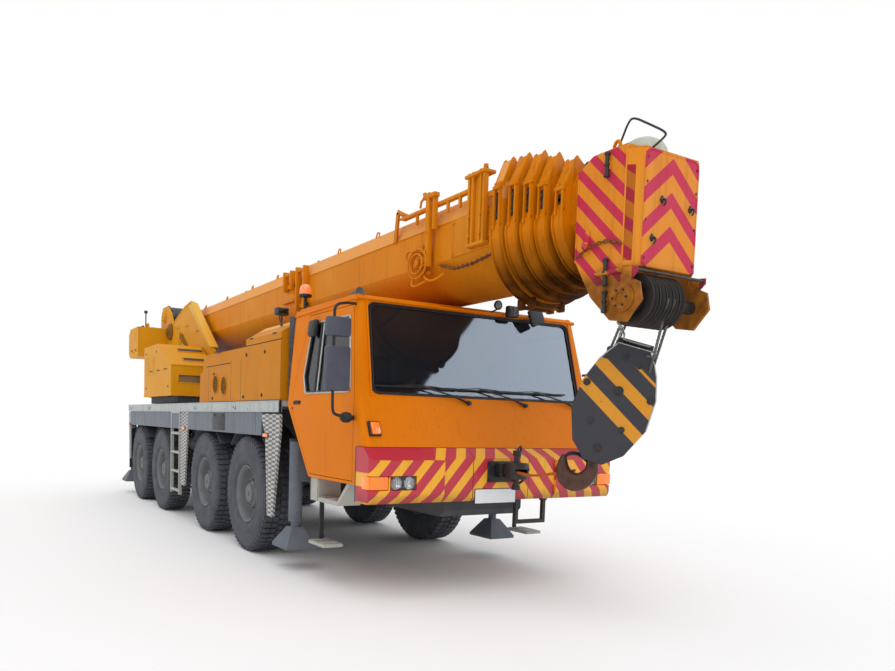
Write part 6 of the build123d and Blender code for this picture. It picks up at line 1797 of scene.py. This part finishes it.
for number, (name, front) in enumerate(zip(COLLAR_BODIES, COLLAR_FRONTS)):
    rear, half, bottom = front - 0.1, 0.53 - 0.03 * number, 2.56 + 0.03 * number
    notch, peak = 3.55 - 0.022 * number, COLLAR_PEAKS[number]
    top = peak - 0.2
    work, dark = bmesh.new(), bmesh.new()
    band(work, rear - 0.012, 0.11, 0.01, half, bottom, 3.155)
    for x in (rear - 0.014, front - 0.013):
        band(work, x, 0.014, 0.022, half, bottom, 3.13)
    for side in SIDES.values():
        for x in (rear + 0.018, front - 0.016):
            block(work, *sided(side, (x, half - 0.002, 3.1), (x + 0.014, half + 0.026, top - 0.015)), 0.003)
        block(work, *sided(side, (rear + 0.01, half - 0.006, top - 0.035),
                           (front + 0.004, half + 0.03, top - 0.008)), 0.004)
        block(work, *sided(side, (rear + 0.012, half - 0.03, top - 0.015),
                           (front + 0.001, half + 0.015, top + 0.022)), 0.006)
        block(dark, *sided(side, (rear + 0.034, half - 0.0015, 3.175),
                           (front - 0.02, half + 0.003, top - 0.055)), 0.001)
        for z in (3.205, top - 0.1):
            bar(dark, (rear + 0.055, side * (half + 0.002), z), (rear + 0.055, side * (half + 0.015), z),
                0.012, 6)
        outline = [(half - 0.2, notch + 0.002), (half - 0.125, peak + 0.012), (half - 0.105, peak + 0.03),
                   (half - 0.085, peak + 0.012), (half + 0.005, top)]
        for x in (rear - 0.002, front - 0.008):
            sheet(work, [(x, side * y, z) for y, z in outline], (0.01, 0, 0), 0.002)
        bar(dark, (rear + 0.01, side * (half - 0.105), peak - 0.03),
            (front - 0.005, side * (half - 0.105), peak - 0.03), 0.016, 12)
    rollers = Vector((rear + 0.05, 0, notch + 0.035))
    bar(dark, rollers + Vector((0, 0.205 - half, 0)), rollers + Vector((0, half - 0.205, 0)), 0.01, 10)
    for y in (-0.12, 0.12):
        lathe(dark, [(0, -0.03), (0.036, -0.03), (0.026, -0.012), (0.026, 0.012), (0.036, 0.03), (0, 0.03)],
              spun_at(rollers + Vector((0, y, 0))), 20)
    piece(work, f"{name}_collar_band", name, collar_orange)
    piece(dark, f"{name}_slide_pads", name, dark_steel)

work = bmesh.new()
for x in (4.7, 4.825):
    for side in SIDES.values():
        block(work, (x - 0.03, side * 0.16 - 0.022, 2.51), (x + 0.035, side * 0.16 + 0.022, 2.6), 0.008)
    bar(work, (x, -0.19, 2.535), (x, 0.19, 2.535), 0.018, 12)
piece(work, "jib_hanging_lugs", "boom_base", collar_orange)

# %% [markdown]
# ## The hoist rope along the boom
# The rope leaves the drum, crosses the pivot and runs over every collar to the head. When a section
# slides out, real rope pays off the drum, so each stretch between collars here is its own piece,
# attached to no body.

# %% rope stretches
ROPE_Z = 3.602


def strands(work, start, end, radius=0.0105, lay=0.09):
    """Twisted wire rope: a core with six strands wound round it."""
    start, end = Vector(start), Vector(end)
    way = end - start
    across = way.cross(Vector((0, 1, 0))).normalized()
    other = way.normalized().cross(across)
    steps = max(8, round(way.length / lay * 6))
    bar(work, start, end, radius * 0.72, 6)
    for strand in range(3):
        route = []
        for step in range(steps + 1):
            angle = strand * 2 * pi / 3 + step * pi / 3
            off = (across * cos(angle) + other * sin(angle)) * radius * 0.5
            route.append(start + way * (step / steps) + off)
        pipe(work, route, radius * 0.55, bent=False, sides=1)


def crossing(work, name, finish=None):
    """A piece attached to no body, with its place baked into its mesh."""
    made = piece(work, name, None, finish or wire_rope)
    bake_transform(made)


STATIONS = [("boom_base", 4.8, ROPE_Z), ("boom_section_1", 4.95, 3.6), ("boom_section_2", 5.09, 3.59),
            ("boom_section_3", 5.215, 3.575), ("boom_section_4", 5.37, 3.555), ("boom_section_5", 5.69, 3.5)]
work = bmesh.new()
strands(work, (-5.48, 0.02, 3.735), (-4.7, 0, ROPE_Z))
crossing(work, "rope_over_pivot")
work = bmesh.new()
strands(work, (-4.7, 0, ROPE_Z), (STATIONS[0][1], 0, ROPE_Z))
piece(work, "rope_along_boom", "boom_base", wire_rope)
for (behind, start_x, start_z), (ahead, end_x, end_z) in zip(STATIONS, STATIONS[1:]):
    work = bmesh.new()
    strands(work, (start_x, 0, start_z), (end_x, 0, end_z))
    crossing(work, f"rope_to_{ahead}")

# %% rope guides on the boom's back
work = bmesh.new()
for x in (-4.55, -2.2, 0.6, 3.3):
    for y in (-0.12, 0.12):
        block(work, (x - 0.02, y - 0.008, 3.499), (x + 0.02, y + 0.008, 3.64), 0.003)
    bar(work, (x, -0.12, 3.58), (x, 0.12, 3.58), 0.012, 12)
    bar(work, (x, -0.12, 3.628), (x, 0.12, 3.628), 0.008, 8)
piece(work, "rope_guides", "boom_base", dark_steel)
print("boom finished, rope of", ROPE_RADIUS * 2, "m")

# %% [markdown]
# ## Boom head
# The head is a box of two thick cheeks with a warning cover in front. Five sheaves turn in its foot.
# A sheave is a grooved wheel, and a lathe outline with a V between two rims makes each one exactly.

# %% grooved sheaves
SHEAVE_MIDDLE = (5.955, 0, 2.425)
SHEAVE_ROWS = [-0.11 + (number - 2) * 0.066 for number in range(5)]


def sheave_outline(radius, bore, half, middle):
    """Grooved rim, thin web and hub of one sheave, along its axis."""
    groove = radius - 0.03
    upper = [(groove + 0.006, 0.014), (radius, half * 0.9), (radius - 0.002, half), (groove - 0.03, half),
             (groove - 0.035, half * 0.3), (bore * 2, half * 0.35), (bore * 1.9, half * 0.95),
             (bore, half * 0.95)]
    lower = [(reach, -along) for reach, along in reversed(upper)]
    return [(reach, middle + along) for reach, along in (*lower, (groove, 0), *upper)]


work = bmesh.new()
for row in SHEAVE_ROWS:
    lathe(work, sheave_outline(0.18, 0.045, 0.027, row), spun_at(SHEAVE_MIDDLE), 64)
lathe(work, [(0, -0.355), (0.044, -0.355), (0.045, -0.352), (0.045, 0.352), (0.044, 0.355), (0, 0.355)],
      spun_at(SHEAVE_MIDDLE), 32)
piece(work, "grooved_sheaves", "head_sheaves", dark_steel, sharp=26, replaces="head_sheaves")

# %% [markdown]
# The cheeks carry what a rigger uses: long pins on brackets, a red end lamp, a safety chain, lifting
# eyes and the boss of the sheave shaft. The cover has rounded corners, folded edges and small hooks.

# %% cheek fittings
CHEEK = 0.355
orange, dark, reds, rusty = bmesh.new(), bmesh.new(), bmesh.new(), bmesh.new()
for side in SIDES.values():
    outward = Matrix.Rotation(side * -pi / 2, 4, "X")
    for x, low_z, high_z in ((5.774, 3.265, 3.435), (5.802, 2.525, 2.715), (5.807, 2.34, 2.495)):
        bar(dark, (x, side * (CHEEK + 0.02), low_z), (x, side * (CHEEK + 0.02), high_z), 0.014, 16)
        for z in (low_z + 0.012, (low_z + high_z) / 2, high_z - 0.012):
            bar(dark, (x, side * (CHEEK + 0.02), z - 0.006), (x, side * (CHEEK + 0.02), z + 0.006), 0.02, 16)
        bar(orange, (x, side * (CHEEK - 0.002), (low_z + high_z) / 2),
            (x, side * (CHEEK + 0.012), (low_z + high_z) / 2), 0.028, 16)
    lathe(orange, [(0, 0), (0.09, 0), (0.092, 0.01), (0.078, 0.014), (0.074, 0.03), (0.07, 0.036),
                   (0.04, 0.038), (0.038, 0.03), (0, 0.03)],
          spun_at((5.955, side * (CHEEK - 0.001), 2.425), outward), 40)
    bolt_circle(dark, (5.955, side * (CHEEK + 0.035), 2.425), 0.058, 6, 0.008, side * 0.012)
    block(orange, *sided(side, (5.705, CHEEK - 0.002, 2.6), (5.928, CHEEK + 0.035, 2.626)), 0.006)
    block(orange, *sided(side, (5.922, CHEEK - 0.004, 2.6), (5.934, CHEEK + 0.006, 3.449)), 0.003)
    sheet(orange, [(6, side * 0.344, 2.53), (6.062, side * 0.344, 2.585), (6.062, side * 0.344, 2.625),
                   (5.925, side * 0.344, 2.64), (5.925, side * 0.344, 2.6)], (0, side * 0.008, 0), 0.002)
    pipe(orange, [(6.013, side * 0.266, 2.652), (6.013, side * 0.266, 3.36), (6.011, side * 0.262, 3.417)],
         0.006, bent=False)
    block(orange, *sided(side, (5.592, CHEEK - 0.002, 2.776), (5.63, CHEEK + 0.016, 2.936)), 0.004)
    lathe(reds, [(0, 0.034), (0.016, 0.032), (0.027, 0.022), (0.033, 0.008), (0.033, 0), (0, 0)],
          spun_at((5.611, side * (CHEEK + 0.016), 2.835), outward), 24)
    chain(rusty, [(5.52, side * 0.364, 2.771), (5.601, side * 0.378, 2.797), (5.687, side * 0.376, 2.828),
                 (5.806, side * 0.37, 2.833), (5.929, side * 0.366, 2.792)], 0.038, 0.0045)
    block(orange, *sided(side, (5.491, CHEEK - 0.004, 2.735), (5.505, CHEEK + 0.006, 3.368)), 0.004)
piece(orange, "head_bosses", "boom_section_5", head_paint)
piece(dark, "head_pins", "boom_section_5", dark_steel)
piece(rusty, "head_cheek_chains", "boom_section_5", rusty_chain)
piece(reds, "head_end_lamps", "boom_section_5", red_lens)

# %% cover, hooks and guard rods
work, dark = bmesh.new(), bmesh.new()
COVER = [(-0.262, 2.648), (0.262, 2.648), (0.262, 3.415), (-0.262, 3.415)]
closed_pipe(work, [Vector((6.011, y, z)) for y, z in rounded(COVER, 0.05)], 0.009)
for y, z in ((-0.095, 3.101), (0.197, 3.081), (-0.177, 2.835)):
    lathe(dark, [(0, 0.014), (0.018, 0.012), (0.022, 0), (0, 0)], spun_at((6.0145, y, z), ALONG_X), 16)
    pipe(dark, [(6.02, y, z), (6.046, y, z + 0.005), (6.05, y, z - 0.025), (6.032, y, z - 0.04)], 0.0065)
    block(dark, (6.014, y - 0.01, z - 0.006), (6.022, y + 0.01, z + 0.03), 0.003)
for y in (-0.25, 0.25):
    for z in (2.7, 2.95, 3.2, 3.36):
        bar(dark, (6.014, y, z), (6.021, y, z), 0.009, 6)
bar(dark, (6.042, -0.344, 2.606), (6.042, 0.344, 2.606), 0.011, 12)
bar(dark, (5.752, -0.352, 2.543), (5.752, 0.352, 2.543), 0.013, 12)
block(dark, (5.6, -0.3, 2.775), (5.9, 0.3, 2.8), 0.006)
piece(work, "cover_rim", "boom_section_5", head_paint)
piece(dark, "guard_rods_and_hooks", "boom_section_5", dark_steel)

# %% the head's top: dome, eyes and rod
orange, dark, dome = bmesh.new(), bmesh.new(), bmesh.new()
lathe(dome, [(0, 0), (0.162, 0), (0.165, 0.025), (0.158, 0.07), (0.132, 0.114), (0.082, 0.145), (0, 0.157)],
      spun_at((5.756, 0, 3.449), UP), 48)
for x in (5.535, 5.61):
    lathe(orange, [(0, 0.095), (0.026, 0.093), (0.04, 0.078), (0.042, 0.058), (0.03, 0.045), (0.026, 0),
                   (0, 0)], spun_at((x, -0.18, 3.425), UP), 24)
block(orange, (5.5, -0.26, 3.37), (5.66, -0.1, 3.432), 0.008)
block(orange, (5.625, -0.352, 3.447), (5.928, 0.352, 3.456), 0.002)
sheet(orange, [(5.9, -0.352, 3.4205), (5.93, -0.352, 3.4205), (6.012, -0.264, 3.4205), (6.012, 0.264, 3.4205),
               (5.93, 0.352, 3.4205), (5.9, 0.352, 3.4205)], (0, 0, 0.01), 0.002)
pipe(dark, [(5.7, -0.23, 3.44), (5.745, -0.215, 3.555), (5.79, -0.205, 3.668), (5.83, -0.2, 3.688),
            (5.96, -0.2, 3.6), (6.1, -0.2, 3.505), (6.11, -0.2, 3.47), (6, -0.2, 3.43)], 0.0075)
for y in (-0.3, 0.3):
    pipe(orange, [(5.76, y, 3.452), (5.76, y, 3.495), (5.79, y, 3.525), (5.82, y, 3.495), (5.82, y, 3.452)],
         0.012)
for y in (-0.022, 0.022):
    block(dark, (5.64, y - 0.006, 3.44), (5.74, y + 0.006, 3.52), 0.004)
bar(dark, (5.69, -0.034, 3.478), (5.69, 0.034, 3.478), 0.03, 20)
piece(orange, "head_top_eyes", "boom_section_5", collar_orange)
piece(dark, "head_top_frame", "boom_section_5", dark_steel)
piece(dome, "head_dome", "boom_section_5", dome_paint)
print("head finished")

# %% [markdown]
# ## Hook block
# The block hangs turned towards the crane's right, because its ropes untwist a little. Two cheek
# plates hold three sheaves and, on top, a bright welded frame. Its pieces are modelled upright about
# its centre, then one matrix leans and turns them into place, as the block itself hangs.

# %% the block's own frame
BLOCK_FRAME = (Matrix.Translation((BLOCK_MIDDLE[0], 0, BLOCK_MIDDLE[1])) @ Matrix.Rotation(BLOCK_TURN, 4, "Z")
               @ Matrix.Rotation(BLOCK_TILT, 4, "Y"))
BLOCK_AXLE_UP = 0.104
CHEEK_OUTER = 0.15


def lean(work):
    """Move a finished bmesh from the block's own frame into the crane's."""
    bmesh.ops.transform(work, matrix=BLOCK_FRAME, verts=work.verts)


def in_block(across, y, up):
    return BLOCK_FRAME @ Vector((across, y, up))


# %% bolts, frame and sheaves
bolts, top, wheels = bmesh.new(), bmesh.new(), bmesh.new()
BLOCK_BOLTS = [(0, 0.104, 0.036), (-0.232, 0.102, 0.026), (0.232, 0.102, 0.026), (-0.113, -0.155, 0.024),
               (0.113, -0.155, 0.024), (-0.03, 0.35, 0.02), (0.078, 0.312, 0.02), (0, -0.33, 0.03)]
for side in SIDES.values():
    for across, up, radius in BLOCK_BOLTS:
        start = Vector((across, side * (CHEEK_OUTER - 0.001), up))
        bar(bolts, start, start + Vector((0, side * 0.006, 0)), radius, 28)
        bar(bolts, start, start + Vector((0, side * 0.02, 0)), radius * 0.72, 6)
        bar(bolts, start, start + Vector((0, side * 0.026, 0)), radius * 0.38, 16)
    block(top, *sided(side, (-0.118, 0.116, 0.4305), (0.118, 0.154, 0.438)), 0.002)
    pipe(top, [(-0.118, side * 0.151, 0.428), (-0.17, side * 0.151, 0.35), (-0.213, side * 0.151, 0.272)],
         0.005, bent=False)
    pipe(top, [(0.118, side * 0.151, 0.428), (0.17, side * 0.151, 0.35), (0.213, side * 0.151, 0.272),
               (0.266, side * 0.151, 0.11), (0.274, side * 0.151, -0.108)], 0.005, bent=False)
for across in (-0.112, 0.112):
    block(bolts, (across - 0.012, -0.148, 0.38), (across + 0.012, 0.148, 0.47), 0.004)
block(bolts, (-0.12, -0.1, 0.455), (0.12, -0.084, 0.478), 0.004)
block(bolts, (-0.12, 0.084, 0.455), (0.12, 0.1, 0.478), 0.004)
bar(top, (-0.124, -0.092, 0.47), (0.124, -0.092, 0.47), 0.012, 12)
block(top, (0.1, -0.15, 0.392), (0.128, 0.15, 0.404), 0.003)
for middle in (-0.076, 0, 0.076):
    lathe(wheels, sheave_outline(0.214, 0.042, 0.029, middle), spun_at((0, 0, BLOCK_AXLE_UP)), 56)
for up, across in ((0.352, -0.1), (0.352, 0.1), (-0.25, -0.16), (-0.25, 0.16), (-0.02, -0.255),
                   (-0.02, 0.255)):
    bar(bolts, (across, -0.122, up), (across, 0.122, up), 0.016, 14)
for half in (-1, 1):
    for y in (-0.121, 0.121):
        sheet(bolts, [(half * 0.276, y, -0.112), (half * 0.19, y, -0.332), (half * 0.16, y, -0.32),
                      (half * 0.246, y, -0.112)], (0, -0.016 if y > 0 else 0.016, 0), 0.002)
for work in (bolts, top, wheels):
    lean(work)
piece(bolts, "block_bolts_and_frame", "hook_block", dark_steel)
piece(top, "block_bright_edges", "hook_block", galvanised)
piece(wheels, "block_sheaves", "hook_block", greasy_steel, sharp=26)

# %% [markdown]
# The hook is forged: a round shank that swells into a thick bowl and tapers to a point. It is lofted
# as rings of changing size along its own centre line, and a sprung latch closes its mouth.

# %% forged hook
HOOK_LINE = [(0, -0.424, 0.04, 0.04), (0, -0.47, 0.046, 0.046), (0.012, -0.51, 0.052, 0.05),
             (0, -0.56, 0.058, 0.05), (-0.03, -0.612, 0.066, 0.05), (-0.085, -0.64, 0.074, 0.048),
             (-0.145, -0.625, 0.068, 0.046), (-0.19, -0.58, 0.054, 0.042), (-0.208, -0.53, 0.04, 0.036),
             (-0.216, -0.49, 0.026, 0.026), (-0.22, -0.462, 0.012, 0.014)]


def loft_rings(work, rings, sides=20):
    """Skin round rings of (across, up, wide, thick) that stand square to their line."""
    loops = []
    for index, (across, up, wide, thick) in enumerate(rings):
        before, after = rings[max(0, index - 1)], rings[min(len(rings) - 1, index + 1)]
        way = Vector((after[0] - before[0], 0, after[1] - before[1])).normalized()
        flat = Vector((way.z, 0, -way.x))
        made = bmesh.ops.create_circle(work, segments=sides, radius=1)
        turned = Matrix((flat * wide, Vector((0, thick, 0)), way)).transposed().to_4x4()
        bmesh.ops.transform(work, matrix=Matrix.Translation((across, 0, up)) @ turned, verts=made["verts"])
        loops.append([e for v in made["verts"] for e in v.link_edges])
    for first, second in zip(loops, loops[1:]):
        bmesh.ops.bridge_loops(work, edges=list(set(first) | set(second)))
    for loop in (loops[0], loops[-1]):
        bmesh.ops.holes_fill(work, edges=list(set(loop)), sides=0)


work = bmesh.new()
loft_rings(work, HOOK_LINE)
bmesh.ops.subdivide_edges(work, edges=work.edges, cuts=1, smooth=0.6, use_grid_fill=True)
bar(work, (0, 0, -0.4), (0, 0, -0.432), 0.07, 6)
lean(work)
piece(work, "forged_hook", "hook", forged_hook, sharp=60, replaces="hook")
work = bmesh.new()
pipe(work, [(-0.01, 0, -0.47), (-0.08, 0, -0.428), (-0.16, 0, -0.425), (-0.205, 0, -0.458),
            (-0.212, 0, -0.5)], 0.013)
pipe(work, [(-0.01, 0.02, -0.48), (-0.08, 0.02, -0.436), (-0.16, 0.02, -0.433), (-0.204, 0.018, -0.466)],
     0.008)
pipe(work, [(-0.01, -0.02, -0.48), (-0.08, -0.02, -0.436), (-0.16, -0.02, -0.433), (-0.204, -0.018, -0.466)],
     0.008)
bar(work, (-0.004, -0.056, -0.476), (-0.004, 0.056, -0.476), 0.012, 12)
lean(work)
piece(work, "hook_latch", "hook", dark_steel)

# %% [markdown]
# Ropes run from the head's sheaves to the block's, from the boom at their top to the block at their
# foot, and they are made as one piece attached to neither body.

# %% falls of rope and the block's chain
work = bmesh.new()
for x, across in ((6.122, 0.176), (5.788, -0.176)):
    for row, y in ((-0.044, 0.038), (-0.11, -0.038)):
        strands(work, (x, row, 2.425), in_block(across, y, 0.11), 0.0105)
crossing(work, "falls_of_rope")
work = bmesh.new()
hang = Vector((5.8, -0.23, 2.345))
grip = in_block(-0.11, -0.115, 0.475)
chain(work, [hang, grip + Vector((0, 0, 0.035))], 0.048, 0.006)
pipe(work, [grip + Vector((-0.02, 0, -0.01)), grip + Vector((-0.025, 0, 0.03)), grip + Vector((0, 0, 0.05)),
            grip + Vector((0.025, 0, 0.03)), grip + Vector((0.02, 0, -0.01))], 0.007)
crossing(work, "block_chain",
         galvanised)

# %% tie strap from the hook to the bumper
work = bmesh.new()
hook_seat = in_block(-0.12, 0, -0.56)
for y in (-0.022, 0.022):
    route = [(4.38, y * 0.6, 1.175), (4.62, y * 0.7 - 0.03, 1.13), (4.95, y - 0.1, 1.135),
             (hook_seat.x, hook_seat.y + y, hook_seat.z)]
    pipe(work, route, 0.01)
bar(work, (4.375, -0.05, 1.175), (4.375, 0.05, 1.175), 0.014, 12)
piece(work, "tie_strap", "carrier", strap_web)
print("hook block finished")
